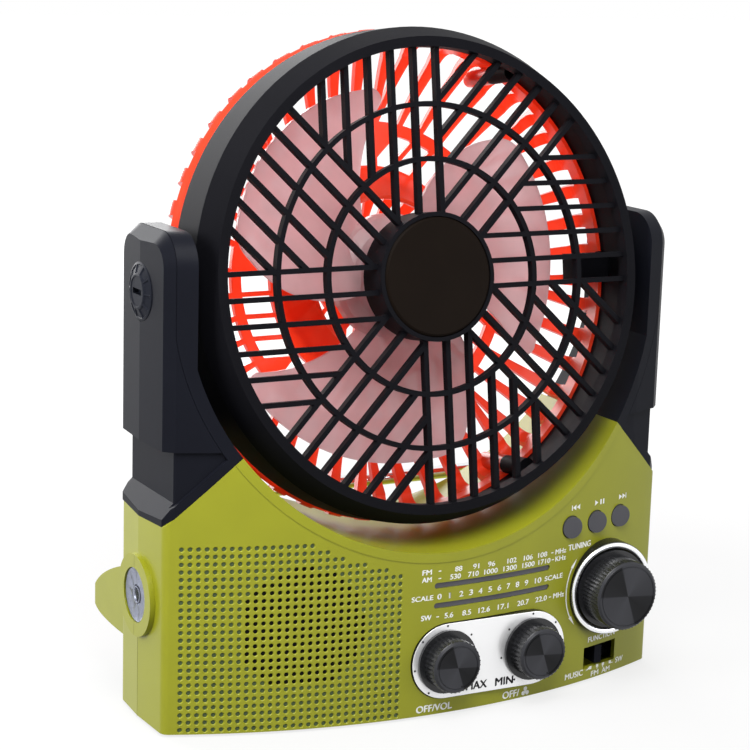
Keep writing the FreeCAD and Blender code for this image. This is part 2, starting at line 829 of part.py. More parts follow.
def inside_line(x_limit, radius):
    """The head's side of a line that runs up the cradle arc and then straight up at x_limit."""
    circle = rod(0, -61, cradle_centre_z, radius, 122)
    low = circle.common(box(0, x_limit, -61, 61, 60, cradle_centre_z))
    return low.fuse(box(0, x_limit, -61, 61, cradle_centre_z, 215))


def arm_section(x, front, back, top, front_radius, back_radius):
    """Side view of an arm at x: upright front and back, rounded at the top."""
    share = 1 - math.sqrt(0.5)
    a, b = V(x, front, 60), V(x, front, top - front_radius)
    bend_b = V(x, front + front_radius * share, top - front_radius * share)
    c, d = V(x, front + front_radius, top), V(x, back - back_radius, top)
    bend_d = V(x, back - back_radius * share, top - back_radius * share)
    e, f = V(x, back, top - back_radius), V(x, back, 60)
    edges = [line(a, b), arc(b, bend_b, c), line(c, d), arc(d, bend_d, e), line(e, f), line(f, a)]
    return Part.Wire(edges)


def arm_block(inset, side_inset):
    """Outside of an arm above the shoulder, with its sloping edges, moved in by inset."""
    edge_x = cover_inner_x - inset * math.tan(math.pi / 8)
    top, back = arm_top_z - inset, arm_back_y - inset
    front_radius, back_radius = arm_front_top_radius - inset, arm_back_top_radius - inset
    sections = [arm_section(x, front_y(x) + inset, back, top, front_radius, back_radius)
                for x in (74.0, 85.0, 96.5, edge_x)]
    grow = arm_bevel + 0.8
    sections.append(arm_section(edge_x + grow, front_y(edge_x) + inset + grow, back, top - grow * 1.1,
                                front_radius - grow, back_radius - grow * 0.5))
    taper = prism_xy([(60, -60), (side_x(-60, side_inset), -60), (half_width - side_inset, 0),
                      (side_x(60, side_inset), 60), (60, 60)], 50, 215)
    return Part.makeLoft(sections, True, True).common(taper)


def side_x(y, inset):
    """X of the slightly drafted side at y."""
    if y < 0:
        return half_width - inset - (half_width - front_corner_x) * y / front_y(front_corner_x)
    return half_width - inset - (half_width - back_corner_x) * y / back_y(back_corner_x)


def behind_border(top_z):
    """Area outside the band and above the border along the shoulder, in front view."""
    px, pz, dx, dz = shoulder_line_point(-foot_border)
    points = [(px + 40 * -dx, pz + 40 * -dz), (px - 60 * -dx, pz - 60 * -dz), (px - 60 * -dx, top_z),
              (px + 40 * -dx, top_z)]
    area = prism_xz(points, -60, 60).cut(inside_line(cover_inner_x, cradle_radius + arm_band))
    return area.common(box(60, 130, -60, 60, 50, top_z))


def border_slope():
    """Sloping inner edge of the border, from its face down to the recessed neck."""
    ends = []
    for x in (84.0, half_width + 1.0):
        px, pz, dx, dz = shoulder_line_point(-foot_border)
        z = pz + (x - px) * dz / dx
        y = front_y(x)
        ends.append(polygon([V(x, y, z - 0.3), V(x, y, z), V(x - dz * border_bevel, y + neck_recess + 0.1,
                                                               z + dx * -border_bevel),
                             V(x, y + neck_recess + 0.1, z - 0.3)]))
    wedge = Part.makeLoft(ends, True, True)
    return wedge.cut(inside_line(cover_inner_x, cradle_radius + arm_band - 0.2)).common(arm_block(0, 0))


def arm_base():
    tip_x, tip_z = shoulder_on_cradle(0)
    step_z = side_top_z + foot_side_height
    points = [(tip_x, tip_z), (half_width, side_top_z), (half_width, step_z), (neck_x, step_z + neck_foot_rise),
              (neck_x, cover_bottom_z), (tip_x, cover_bottom_z)]
    foot = prism_xz(points, -60, 60).common(arm_block(0, 0))
    # Neck between the foot and the cover
    neck_keep = arm_block(neck_recess, neck_recess)
    foot = foot.cut(behind_border(cover_bottom_z).cut(neck_keep))
    # Band along the head, and the core that the cover slides over
    above = box(60, 130, -60, 60, cover_bottom_z, 215)
    band = arm_block(0, 0).common(above).common(inside_line(cover_inner_x, cradle_radius + arm_band))
    core = arm_block(cover_wall + cover_gap, cover_wall).common(above)
    base = foot.fuse(band).fuse(core).cut(inside_line(arm_inner_x, cradle_radius))
    # Bore and counterbore for the tilt pivot
    base = base.cut(rod(90, 0, tilt_axis_z, pivot_bore_radius, 30, X_AXIS))
    base = base.cut(rod(107.2, 0, tilt_axis_z, 9.0, 10, X_AXIS))
    return base.fuse(arm_tenon())


def tenon_place():
    """Middle of the shoulder, and the angle of the shoulder in the front view."""
    tip_x, tip_z = shoulder_on_cradle(0)
    return (tip_x + half_width) / 2, (tip_z + side_top_z) / 2


def tenon_box(grow):
    x, z = tenon_place()
    dx, dz = shoulder_direction()
    block = box(-tenon_width / 2 - grow, tenon_width / 2 + grow, -tenon_depth / 2 - grow - 2,
                tenon_depth / 2 + grow - 2, -tenon_length - grow, 2.0)
    block.rotate(V(0, 0, 0), Y_AXIS, math.degrees(math.atan2(dz, -dx)))
    block.translate(V(x, 0, z))
    return block


def arm_tenon():
    """Tongue that drops through the shoulder and is gripped between the shells."""
    return tenon_box(0)


def arm_cover():
    """Outer half of the arm: side, sloping edges, front and back, down to the neck."""
    area = box(60, 130, -60, 60, cover_bottom_z, 215)
    area = area.cut(inside_line(cover_inner_x + cover_joint, cradle_radius + arm_band + cover_joint))
    cover = arm_block(0, 0).common(area).cut(arm_block(cover_wall, cover_wall))
    return cover.cut(rod(90, 0, tilt_axis_z, pivot_cap_radius + 0.15, 40, X_AXIS))


def pivot_cap():
    """Round cap over the pivot screw, with ten shallow pockets round a slotted centre."""
    x0 = half_width - cover_wall + 0.1
    x1 = half_width + pivot_cap_proud
    cap = rod(x0, 0, tilt_axis_z, pivot_cap_radius, x1 - x0, X_AXIS)
    pockets = tube(x1 - 0.5, 0, tilt_axis_z, pivot_cap_radius - 0.9, 6.2, 2, X_AXIS)
    for k in range(10):
        bar = box(x1 - 1, x1 + 2, 4, pivot_cap_radius + 1, -0.55, 0.55)
        bar.rotate(V(0, 0, 0), X_AXIS, 36 * k + 18)
        bar.translate(V(0, 0, tilt_axis_z))
        pockets = pockets.cut(bar)
    cap = cap.cut(pockets)
    return cap.cut(box(x1 - 1.4, x1 + 1, -2.4, 2.4, tilt_axis_z - 0.8, tilt_axis_z + 0.8))


# Fan head, drawn round the tilt axis with the fan axis along +Y

def radial(angle, along, across):
    """Point in the fan's front view, along and square to a spoke direction."""
    c, s = math.cos(angle), math.sin(angle)
    return along * c - across * s, along * s + across * c


def grille_bar(sector, index):
    angle = 2 * math.pi * sector / sectors
    across = (index - 0.5) * rib_pitch
    meet = across + rib_pitch / 2 * math.sqrt(2)
    starts = {0: hub_ring_outer - 0.6, 1: hub_ring_outer - 0.6, 2: meet, 3: None, 4: meet, 5: meet}
    start = starts[index]
    if start is None:
        start = math.sqrt((ring_a_radius - 0.5) ** 2 - across ** 2)
    end = math.sqrt((lip_inner_radius + 0.6) ** 2 - across ** 2)
    half = rib_width / 2
    points = [radial(angle, start, across - half), radial(angle, end, across - half),
              radial(angle, end, across + half), radial(angle, start, across + half)]
    return prism_xz(points, rib_front - tilt_offset, rib_back - tilt_offset)


def post_angles():
    return [math.radians(a) for a in (60, 120, 240, 300)]


def front_grille():
    lip = turned([(lip_inner_radius, 0), (lip_outer_radius, 0), (bezel_radius, bezel_bevel_depth),
                  (bezel_side_radius, bezel_depth), (bezel_side_radius - bezel_wall, bezel_depth),
                  (bezel_radius - bezel_wall, bezel_bevel_depth + 0.8), (lip_inner_radius + 2.2, 6.4),
                  (lip_inner_radius, 6.4)])
    half = rib_width / 2
    pieces = [grille_bar(s, i) for s in range(sectors) for i in range(ribs_in_sector)]
    for radius in (ring_a_radius, ring_b_radius):
        pieces.append(turned([(radius - half, rib_front), (radius + half, rib_front),
                              (radius + half, rib_back), (radius - half, rib_back)]))
    pieces.append(turned([(hub_ring_inner, -0.6), (hub_ring_outer, -0.6), (hub_ring_outer, hub_ring_depth),
                          (hub_ring_inner, hub_ring_depth)]))
    pieces.append(turned([(0, hub_web_front), (hub_ring_inner + 0.5, hub_web_front),
                          (hub_ring_inner + 0.5, hub_web_back), (0, hub_web_back)]))
    for angle in post_angles():
        x, z = radial(angle, post_circle, 0)
        pieces.append(rod(x, post_front_offset - tilt_offset, z, post_radius, bezel_depth - post_front_offset))
    grille = lip.multiFuse(pieces)
    grille = grille.removeSplitter()
    for angle in post_angles():
        x, z = radial(angle, post_circle, 0)
        grille = grille.cut(rod(x, 17 - tilt_offset, z, 1.2, 20))
    return grille.cut(trunnion_bores())


def trunnion_bores():
    return Part.makeCompound([rod(80, 0, 0, trunnion_radius + 0.2, 30, X_AXIS),
                              rod(-110, 0, 0, trunnion_radius + 0.2, 30, X_AXIS)])


def hub_cap():
    return turned([(0, hub_cap_front), (hub_ring_inner - 1.2, hub_cap_front),
                   (hub_ring_inner - 0.3, hub_cap_front + 0.7), (hub_ring_inner - 0.3, hub_web_front),
                   (0, hub_web_front)])


def housing_profile():
    """Closed section of the rear housing wall, from the bezel seam to the motor cup."""
    w = housing_wall
    o = tilt_offset
    seam = bezel_depth + 0.1
    side = bezel_side_radius - housing_step
    dome_mid_r = (corner_radius_r + dome_inner_radius) / 2 + 1.0
    dome_mid_offset = (corner_offset + dome_offset) / 2 + 2.8
    a, b = V(side, seam - o, 0), V(side, shoulder_start_offset - o, 0)
    swell = V(shoulder_radius - 0.8, (shoulder_start_offset + shoulder_offset) / 2 - 0.5 - o, 0)
    c = V(shoulder_radius, shoulder_offset - o, 0)
    turn = V(shoulder_radius - 2.2, shoulder_offset + 5.0 - o, 0)
    d = V(corner_radius_r, corner_offset - o, 0)
    e = V(dome_inner_radius, dome_offset - o, 0)
    e_in = V(dome_inner_radius, dome_offset - w - 0.2 - o, 0)
    d_in = V(corner_radius_r - 1.0, corner_offset - w - 0.3 - o, 0)
    turn_in = V(side - w - 0.8, shoulder_offset + 3.4 - o, 0)
    b_in = V(side - w, shoulder_offset - 1.0 - o, 0)
    a_in = V(side - w, seam - o, 0)
    edges = [line(a, b), arc(b, swell, c), arc(c, turn, d), arc(d, V(dome_mid_r, dome_mid_offset - o, 0), e),
             line(e, e_in), arc(e_in, V(dome_mid_r - 0.6, dome_mid_offset - w - o, 0), d_in),
             arc(d_in, turn_in, b_in), line(b_in, a_in), line(a_in, a)]
    return Part.Face(Part.Wire(edges)).revolve(V(0, 0, 0), Y_AXIS, 360)


def back_slot(sector, index):
    """Gap between two neighbouring ribs in the outer zone of the rear housing."""
    base = 2 * math.pi * sector / sectors
    step = 2 * math.pi / (sectors * ribs_in_sector)

    def rib(i):
        inner_across = (i - 0.5) * back_rib_pitch
        inner_along = math.sqrt(back_ring_radius ** 2 - inner_across ** 2)
        if i == ribs_in_sector:
            inner_along, inner_across = radial(2 * math.pi / sectors, math.sqrt(
                back_ring_radius ** 2 - (back_rib_pitch / 2) ** 2), -back_rib_pitch / 2)
        outer = (i - 0.5) * step
        reach = 108.0
        return (inner_along, inner_across), (reach * math.cos(outer), reach * math.sin(outer))

    (a_in, a_out), (b_in, b_out) = rib(index), rib(index + 1)
    inner_half, outer_half = back_rib_inner / 2, back_rib_outer / 2 + 0.3
    corners = [shift(a_in, a_out, inner_half), shift(a_out, a_in, -outer_half),
               shift(b_out, b_in, outer_half), shift(b_in, b_out, -inner_half)]
    turnedpts = [radial(base, u, w) for u, w in corners]
    if index == ribs_in_sector - 1:
        turnedpts = [turnedpts[1], turnedpts[2], radial(base, *middle(a_in, b_in, 6.0, a_out, b_out))]
    return prism_xz(turnedpts, slot_start_offset - tilt_offset, 70 - tilt_offset)


def shift(point, other, distance):
    """Move a point square to the line towards other, to its left."""
    dx, dz = other[0] - point[0], other[1] - point[1]
    length = math.hypot(dx, dz)
    return point[0] - dz / length * distance, point[1] + dx / length * distance


def middle(a, b, outward, a_far, b_far):
    """Point between a and b, moved outward by a distance."""
    mx, mz = (a[0] + b[0]) / 2, (a[1] + b[1]) / 2
    fx, fz = (a_far[0] + b_far[0]) / 2, (a_far[1] + b_far[1]) / 2
    length = math.hypot(fx - mx, fz - mz)
    return mx + (fx - mx) * outward / length, mz + (fz - mz) * outward / length


def inner_slot(sector, index):
    """Gap between parallel ribs in the inner zone, from the cup to the back ring."""
    base = 2 * math.pi * sector / sectors
    low = (index - 0.5) * back_rib_pitch + back_rib_inner / 2
    high = (index + 0.5) * back_rib_pitch - back_rib_inner / 2
    clear = (back_rib_pitch / 2 + back_rib_inner / 2) * math.sqrt(2)
    points = [radial(base, low + clear, low), radial(base, 80, low), radial(base, 80, high),
              radial(base, high + clear, high)]
    return prism_xz(points, slot_start_offset - tilt_offset, 70 - tilt_offset)


def annulus(inner, outer):
    return tube(0, 35 - tilt_offset, 0, outer, inner, 40)


def rear_grille():
    housing = housing_profile()
    outer_zone = annulus(back_ring_radius + back_ring_width / 2, 110)
    inner_zone = annulus(dome_inner_radius + 1.5, back_ring_radius - back_ring_width / 2)
    outer_tools = Part.makeCompound([back_slot(s, i) for s in range(sectors) for i in range(ribs_in_sector)])
    inner_tools = Part.makeCompound([inner_slot(s, i) for s in range(sectors) for i in range(4)])
    keep = Part.makeCompound([boss_keep(angle) for angle in post_angles()])
    housing = housing.cut(outer_tools.common(outer_zone).cut(keep))
    housing = housing.cut(inner_tools.common(inner_zone))
    w = housing_wall
    cup = turned([(dome_inner_radius + 0.8, dome_offset - w), (cup_front_radius, cup_front_offset),
                  (3.0, cup_front_offset), (3.0, cup_front_offset + 2.0),
                  (cup_front_radius - 1.4, cup_front_offset + 2.0), (dome_inner_radius - w, dome_offset + 0.6),
                  (dome_inner_radius + 0.8, dome_offset + 0.4)])
    # Open spaces between the four spokes that carry the motor
    windows = tube(0, cup_front_offset - 1 - tilt_offset, 0, cup_front_radius - 1.6, motor_radius + 2.2, 5)
    for angle in (45, 135, 225, 315):
        spoke = box(0, 50, cup_front_offset - 2 - tilt_offset, cup_front_offset + 6 - tilt_offset, -1.6, 1.6)
        spoke.rotate(V(0, 0, 0), Y_AXIS, angle)
        windows = windows.cut(spoke)
    housing = housing.fuse(cup.cut(windows))
    for angle in post_angles():
        x, z = radial(angle, post_circle, 0)
        boss = rod(x, bezel_depth + 0.1 - tilt_offset, z, post_radius, corner_offset - bezel_depth)
        side = bezel_side_radius - housing_step - 0.5
        housing = housing.fuse(boss.common(turned([(0, 0), (side, 0), (side, shoulder_offset),
                                                   (corner_radius_r, corner_offset), (0, 52)])))
        housing = housing.cut(rod(x, bezel_depth - tilt_offset, z, 1.5, 40))
        housing = housing.cut(rod(x, bezel_depth + 11.0 - tilt_offset, z, 3.0, 40))
    return housing.cut(trunnion_bores())


def boss_keep(angle):
    x, z = radial(angle, post_circle, 0)
    return rod(x, slot_start_offset - 5 - tilt_offset, z, post_radius, 60)


def head_screws():
    screws = []
    for angle in post_angles():
        x, z = radial(angle, post_circle, 0)
        seat = bezel_depth + 11.0
        shank = rod(x, 20 - tilt_offset, z, 1.15, seat - 20)
        screws.append(shank.fuse(rod(x, seat - tilt_offset, z, 2.6, 1.8)))
    return screws


def pivot_trunnion():
    """Block inside the head, its shaft through the rim and the collar towards the arm."""
    block_x = bezel_side_radius - housing_step - housing_wall - 0.6
    block = box(80.5, block_x, -7, 7, -5.5, 5.5)
    shaft = rod(block_x - 0.2, 0, 0, trunnion_radius, 107.2 - block_x, X_AXIS)
    collar = rod(bezel_side_radius + 0.3, 0, 0, 9.0, arm_inner_x - 0.6 - bezel_side_radius, X_AXIS)
    trunnion = block.fuse(shaft).fuse(collar)
    return trunnion.cut(rod(98, 0, 0, 1.4, 20, X_AXIS))


def pivot_screw():
    """Washer-head screw that holds the trunnion in the arm."""
    head = rod(107.3, 0, 0, 8.0, 0.9, X_AXIS).fuse(rod(108.2, 0, 0, 4.0, 1.3, X_AXIS))
    return head.fuse(rod(99, 0, 0, 1.35, 8.5, X_AXIS))


def fan_motor():
    can = rod(0, cup_front_offset + 2.1 - tilt_offset, 0, motor_radius, 16.0)
    boss = rod(0, cup_front_offset - 1.0 - tilt_offset, 0, 2.9, 3.3)
    bore = rod(0, cup_front_offset - 2.0 - tilt_offset, 0, shaft_radius + running_fit, 14.0)
    tail = rod(0, cup_front_offset + 18.1 - tilt_offset, 0, 5.0, 2.0)
    return can.fuse(boss).fuse(tail).cut(bore)


def motor_cover():
    """Shallow dome that closes the motor cup at the back."""
    rim = dome_inner_radius - housing_wall - 1.9
    rise = 11.6
    ball = (dome_inner_radius ** 2 + rise ** 2) / (2 * rise)
    centre = V(0, dome_offset + rise - 1.0 - ball - tilt_offset, 0)
    dome = Part.makeSphere(ball, centre).cut(Part.makeSphere(ball - 2.0, centre))
    dome = dome.common(rod(0, 0, 0, rim, 60))
    # Air slots round the motor
    slots = []
    for k in range(cover_slots):
        slot = box(motor_radius + 2.5, rim - 2.0, 0, 60, -1.9, 1.9)
        slot.rotate(V(0, 0, 0), Y_AXIS, 360.0 * k / cover_slots)
        slots.append(slot)
    return dome.cut(Part.makeCompound(slots))


def motor_shaft():
    return rod(0, spinner_front + 3.0 - tilt_offset, 0, shaft_radius,
               cup_front_offset + 11.0 - spinner_front - 3.0)


def blade_outline():
    """Scimitar blade in front view: (radius, angle) points joined by arcs."""
    def at(radius, degrees):
        a = math.radians(degrees)
        return V(radius * math.cos(a), -60, radius * math.sin(a))
    low_root, low_mid, low_tip = at(22, 116), at(46, 103), at(70, 90)
    tip_low, tip_mid, tip_high = at(blade_tip_radius, 95), at(blade_tip_radius, 127), at(blade_tip_radius - 0.6, 159)
    high_tip, high_mid, high_root = at(68, 172), at(49, 186), at(22, 197)
    corner_low = at(blade_tip_radius - 0.9, 91.2)
    corner_high = at(blade_tip_radius - 2.5, 167)
    edges = [arc(low_root, low_mid, low_tip), arc(low_tip, corner_low, tip_low),
             arc(tip_low, tip_mid, tip_high), arc(tip_high, corner_high, high_tip),
             arc(high_tip, high_mid, high_root), line(high_root, low_root)]
    return Part.Face(Part.Wire(edges)).extrude(V(0, 120, 0))


def blade_sheet():
    """Twisted and cambered sheet that the blade is cut from."""
    rows = []
    for i in range(7):
        radius = 15 + 10.8 * i
        centre = 153 - 0.5 * (radius - 26)
        row = []
        for j in range(9):
            t = (j - 4) / 4 * 1.25
            angle = math.radians(centre + 38 * t)
            rise = -blade_half_rise * t + 2.4 * (1 - t * t) * (radius / blade_tip_radius) ** 2
            row.append(V(radius * math.cos(angle), blade_mid_offset + rise - tilt_offset,
                         radius * math.sin(angle)))
        rows.append(row)
    surface = Part.BSplineSurface()
    surface.interpolate(rows)
    return surface.toShape().extrude(V(0, -blade_thickness, 0))


def fan_blades():
    blade = blade_sheet().common(blade_outline())
    shell_back = spinner_back
    hub = turned([(0, spinner_front), (12, spinner_front + 0.6), (20, spinner_front + 2.6),
                  (24.4, spinner_front + 5.6), (spinner_radius, spinner_front + 9.0),
                  (spinner_radius, shell_back), (spinner_radius - 1.8, shell_back),
                  (spinner_radius - 1.8, spinner_front + 8.8), (20, spinner_front + 5.0),
                  (5.0, spinner_front + 2.6), (5.0, shell_back - 1.0), (0, shell_back - 1.0)])
    pieces = []
    for k in range(blade_count):
        turned_blade = blade.copy()
        turned_blade.rotate(V(0, 0, 0), Y_AXIS, -360.0 * k / blade_count)
        pieces.append(turned_blade)
    rotor = hub.multiFuse(pieces)
    core = rod(0, 20 - tilt_offset, 0, spinner_radius - 1.8, 40).common(
        turned([(5.0, spinner_front + 5.2), (spinner_radius - 1.8, spinner_front + 9.0),
                (spinner_radius - 1.8, shell_back + 2), (5.0, shell_back + 2)]))
    rotor = rotor.cut(core)
    return rotor.cut(rod(0, spinner_front + 3.0 - tilt_offset, 0, shaft_radius, 30))


# Antenna, drawn stowed along the back

def antenna_mount():
    """Two lugs on a foot plate that follows the bowed back."""
    back = back_y(antenna_pin_x)
    plate_low, plate_high = antenna_z - 9.0, antenna_z + 9.0
    mount = box(antenna_pin_x - 6, antenna_pin_x + 6, back - 3, back + 1.6, plate_low, plate_high)
    for z in (antenna_z + 3.3, antenna_z - 6.3):
        lug = box(antenna_pin_x - 4, antenna_pin_x + 4, back - 3, antenna_y, z, z + 3)
        mount = mount.fuse(lug.fuse(rod(antenna_pin_x, antenna_y, z, 4.0, 3, Z_AXIS)))
    swing_room = rod(antenna_pin_x, antenna_y, antenna_z - 3.3, 4.4, 6.6, Z_AXIS)
    mount = mount.cut(rod(antenna_pin_x, antenna_y, antenna_z - 10, 1.5, 20, Z_AXIS)).cut(swing_room)
    return mount.cut(body_block(-mount_seat))


def antenna_clip():
    """Saddle under the stowed rod."""
    x = -63.0
    saddle = box(x - 3, x + 3, back_y(x) - 2, antenna_y + 3, antenna_z - 6, antenna_z - 3.3)
    return saddle.cut(body_block(-mount_seat))


def antenna_swivel():
    pin = rod(antenna_pin_x, antenna_y, antenna_z - 6.3, 1.4, 12.6, Z_AXIS)
    knuckle = rod(antenna_pin_x, antenna_y, antenna_z - 3.0, 3.6, 6.0, Z_AXIS)
    sleeve = rod(antenna_pin_x - 8.0, antenna_y, antenna_z, antenna_radii[0], 8.0, X_AXIS)
    return knuckle.fuse(pin).fuse(sleeve)


def antenna_section(index):
    radius = antenna_radii[index]
    right = antenna_pin_x - 8.0 - index * 1.5
    left = antenna_pin_x - 8.0 - antenna_length - index * 2.0
    if index == len(antenna_radii) - 1:
        body = rod(left, antenna_y, antenna_z, radius, right - left, X_AXIS)
        return body.fuse(rod(left - 3.0, antenna_y, antenna_z, antenna_radii[0], 3.0, X_AXIS))
    bore = antenna_radii[index + 1] + 0.15
    return tube_x(left, right, radius, bore)


def tube_x(left, right, outer, inner):
    body = rod(left, antenna_y, antenna_z, outer, right - left, X_AXIS)
    return body.cut(rod(left, antenna_y, antenna_z, inner, right - left - 1.0, X_AXIS))


# All pieces by node name

def build():
    raw_front, raw_back = body_shells()
    for side in (1, -1):
        slot = tenon_box(0.15) if side == 1 else mirrored(tenon_box(0.15))
        raw_front = raw_front.cut(slot)
        raw_back = raw_back.cut(slot)
    right_base, right_cover = arm_base(), arm_cover()
    right_cap, right_pivot, right_screw = pivot_cap(), pivot_trunnion(), pivot_screw()
    parts = {
        "front_shell": [front_shell(raw_front)],
        "rear_shell": [rear_shell(raw_back)],
        "battery_door": [battery_door()],
        "rubber_feet": rubber_feet(),
        "body_screws": body_screws(),
        "speaker_frame": [speaker_frame()],
        "speaker_cone": [speaker_cone()],
        "speaker_magnet": [speaker_magnet()],
        "main_board": [main_board()],
        "volume_potentiometer": [potentiometer(knob_left_x)],
        "fan_speed_potentiometer": [potentiometer(knob_right_x)],
        "knob_plate": [knob_plate()],
        "volume_knob": [control_knob(knob_left_x)],
        "volume_shaft": [knob_shaft(knob_left_x)],
        "fan_speed_knob": [control_knob(knob_right_x)],
        "fan_speed_shaft": [knob_shaft(knob_right_x)],
        "tuning_ring": [tuning_ring()],
        "tuning_knob": [tuning_knob()],
        "tuning_shaft": [tuning_shaft()],
        "tuning_capacitor": [tuning_capacitor()],
        "dial_windows": dial_windows(),
        "dial_pointer": [dial_pointer()],
        "dial_rail": [dial_rail()],
        "previous_button": [button(button_xs[0])],
        "play_button": [button(button_xs[1])],
        "next_button": [button(button_xs[2])],
        "button_board": [button_board()],
        "function_switch": [function_switch()],
        "function_slider": [function_slider()],
        "torch_reflector": [torch_reflector()],
        "torch_lens": [torch_lens()],
        "torch_led": [torch_led()],
        "battery_cells": battery_cells(),
        "power_board": [power_board()],
        "usb_socket": [usb_socket()],
        "dc_socket": [dc_socket()],
        "right_arm_base": [right_base],
        "left_arm_base": [mirrored(right_base)],
        "right_arm_cover": [right_cover],
        "left_arm_cover": [mirrored(right_cover)],
        "pivot_caps": both_sides(right_cap),
        "front_grille": [head_place(front_grille())],
        "hub_cap": [head_place(hub_cap())],
        "rear_grille": [head_place(rear_grille())],
        "head_screws": [head_place(s) for s in head_screws()],
        "pivot_trunnions": [head_place(s) for s in both_sides(right_pivot)],
        "pivot_screws": [head_place(s) for s in both_sides(right_screw)],
        "fan_motor": [head_place(fan_motor())],
        "motor_cover": [head_place(motor_cover())],
        "motor_shaft": [head_place(motor_shaft())],
        "fan_blades": [head_place(fan_blades())],
        "antenna_mount": [antenna_mount()],
        "antenna_clip": [antenna_clip()],
        "antenna_swivel": [antenna_swivel()],
        "antenna_section_1": [antenna_section(0)],
        "antenna_section_2": [antenna_section(1)],
        "antenna_section_3": [antenna_section(2)],
    }
    return parts


def solids_of(shapes):
    found = []
    for shape in shapes:
        found.extend(shape.Solids)
    return found


def main():
    os.makedirs("parts", exist_ok=True)
    # Middle of the product: torch boss to right pivot cap, and knob faces to bulge
    middle_x = (pivot_cap_proud - torch_boss_rise) / 2
    middle_y = (plate_front_y - knob_height + bulge_nose_y) / 2
    for name, shapes in build().items():
        solids = solids_of(shapes)
        for solid in solids:
            solid.translate(V(-middle_x, -middle_y, 0))
        whole = solids[0] if len(solids) == 1 else Part.makeCompound(solids)
        whole.exportStep("parts/" + name + ".step")
        print(name, len(solids), round(sum(s.Volume for s in solids), 1), whole.isValid())


main()
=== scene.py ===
import json
import math

import bpy
import bmesh
from mathutils import Matrix, Vector

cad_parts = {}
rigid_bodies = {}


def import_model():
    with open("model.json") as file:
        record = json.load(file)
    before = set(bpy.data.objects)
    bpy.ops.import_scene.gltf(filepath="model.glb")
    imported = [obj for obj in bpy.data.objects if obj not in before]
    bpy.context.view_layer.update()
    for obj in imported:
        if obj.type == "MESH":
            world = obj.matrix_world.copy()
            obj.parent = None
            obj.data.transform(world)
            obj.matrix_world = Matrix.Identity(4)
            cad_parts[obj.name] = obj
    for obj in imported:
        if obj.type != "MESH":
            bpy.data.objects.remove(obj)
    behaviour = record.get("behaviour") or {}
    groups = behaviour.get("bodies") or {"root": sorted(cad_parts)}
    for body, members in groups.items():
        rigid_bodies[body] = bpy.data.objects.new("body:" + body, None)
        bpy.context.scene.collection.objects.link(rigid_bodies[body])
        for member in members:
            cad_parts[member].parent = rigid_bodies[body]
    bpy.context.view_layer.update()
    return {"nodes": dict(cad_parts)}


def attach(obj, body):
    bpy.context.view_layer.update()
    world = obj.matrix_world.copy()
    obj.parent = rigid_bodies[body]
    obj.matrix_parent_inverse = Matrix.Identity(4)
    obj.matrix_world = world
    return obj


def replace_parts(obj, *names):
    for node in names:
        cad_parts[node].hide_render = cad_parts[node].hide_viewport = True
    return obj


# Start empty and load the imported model
for old in list(bpy.data.objects):
    bpy.data.objects.remove(old)
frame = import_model()
nodes = frame["nodes"]

# Drawn frame of the part, in millimetres: the saved model is moved by this much
MM = 0.001
SHIFT_X, SHIFT_Y = 0.6, -1.4

# Sizes shared with the part
BOW_RADIUS = 288.0
FRONT_DEPTH = 46.0
TILT_Z = 169.4
KNOB_XS = (-0.5, 39.2)
KNOB_Z = 22.6
KNOB_RADIUS = 10.8
PLATE_RADIUS = 15.5
PLATE_Y = -46.4
KNOB_HEIGHT = 9.4
TUNING_X, TUNING_Z = 80.7, 41.0
TUNING_RADIUS = 14.6
RING_RADIUS = 19.6
TUNING_RING_Y = -40.6
TUNING_HEIGHT = 12.4
HALF_WIDTH = 112.9
HOLE_PITCH = 3.0
HOLE_X0, HOLE_Z0 = -105.7, 74.5
HOLE_RADIUS = 0.87


def point(x, y, z):
    """Drawn millimetres to the saved frame, in metres."""
    return Vector(((x + SHIFT_X) * MM, (y + SHIFT_Y) * MM, z * MM))


def front_y(x):
    """Depth of the bowed front at a distance from the middle."""
    return BOW_RADIUS - FRONT_DEPTH - math.sqrt(BOW_RADIUS ** 2 - x ** 2)


# Materials

def new_material(name):
    """Empty node material as (material, node tree, output node)."""
    mat = bpy.data.materials.new(name)
    mat.use_nodes = True
    mat.node_tree.nodes.clear()
    out = mat.node_tree.nodes.new("ShaderNodeOutputMaterial")
    return mat, mat.node_tree, out


def noise(tree, scale, detail=3.0, rough=0.5, stretch=None):
    """Noise fixed to the object, stretched by three factors where they are given."""
    coords = tree.nodes.new("ShaderNodeTexCoord")
    tex = tree.nodes.new("ShaderNodeTexNoise")
    tex.inputs["Scale"].default_value = scale
    tex.inputs["Detail"].default_value = detail
    tex.inputs["Roughness"].default_value = rough
    source = coords.outputs["Object"]
    if stretch:
        mapping = tree.nodes.new("ShaderNodeMapping")
        mapping.inputs["Scale"].default_value = stretch
        tree.links.new(source, mapping.inputs["Vector"])
        source = mapping.outputs["Vector"]
    tree.links.new(source, tex.inputs["Vector"])
    return tex


def ramp(tree, factor, stops):
    """Colour ramp through stops of (position, colour)."""
    node = tree.nodes.new("ShaderNodeValToRGB")
    elements = node.color_ramp.elements
    while len(elements) < len(stops):
        elements.new(0.5)
    for element, (position, colour) in zip(elements, stops):
        element.position = position
        element.color = (*colour, 1.0)
    tree.links.new(factor, node.inputs["Fac"])
    return node


def shade(colour, factor):
    """Colour made lighter or darker."""
    return tuple(min(1.0, c * factor) for c in colour)


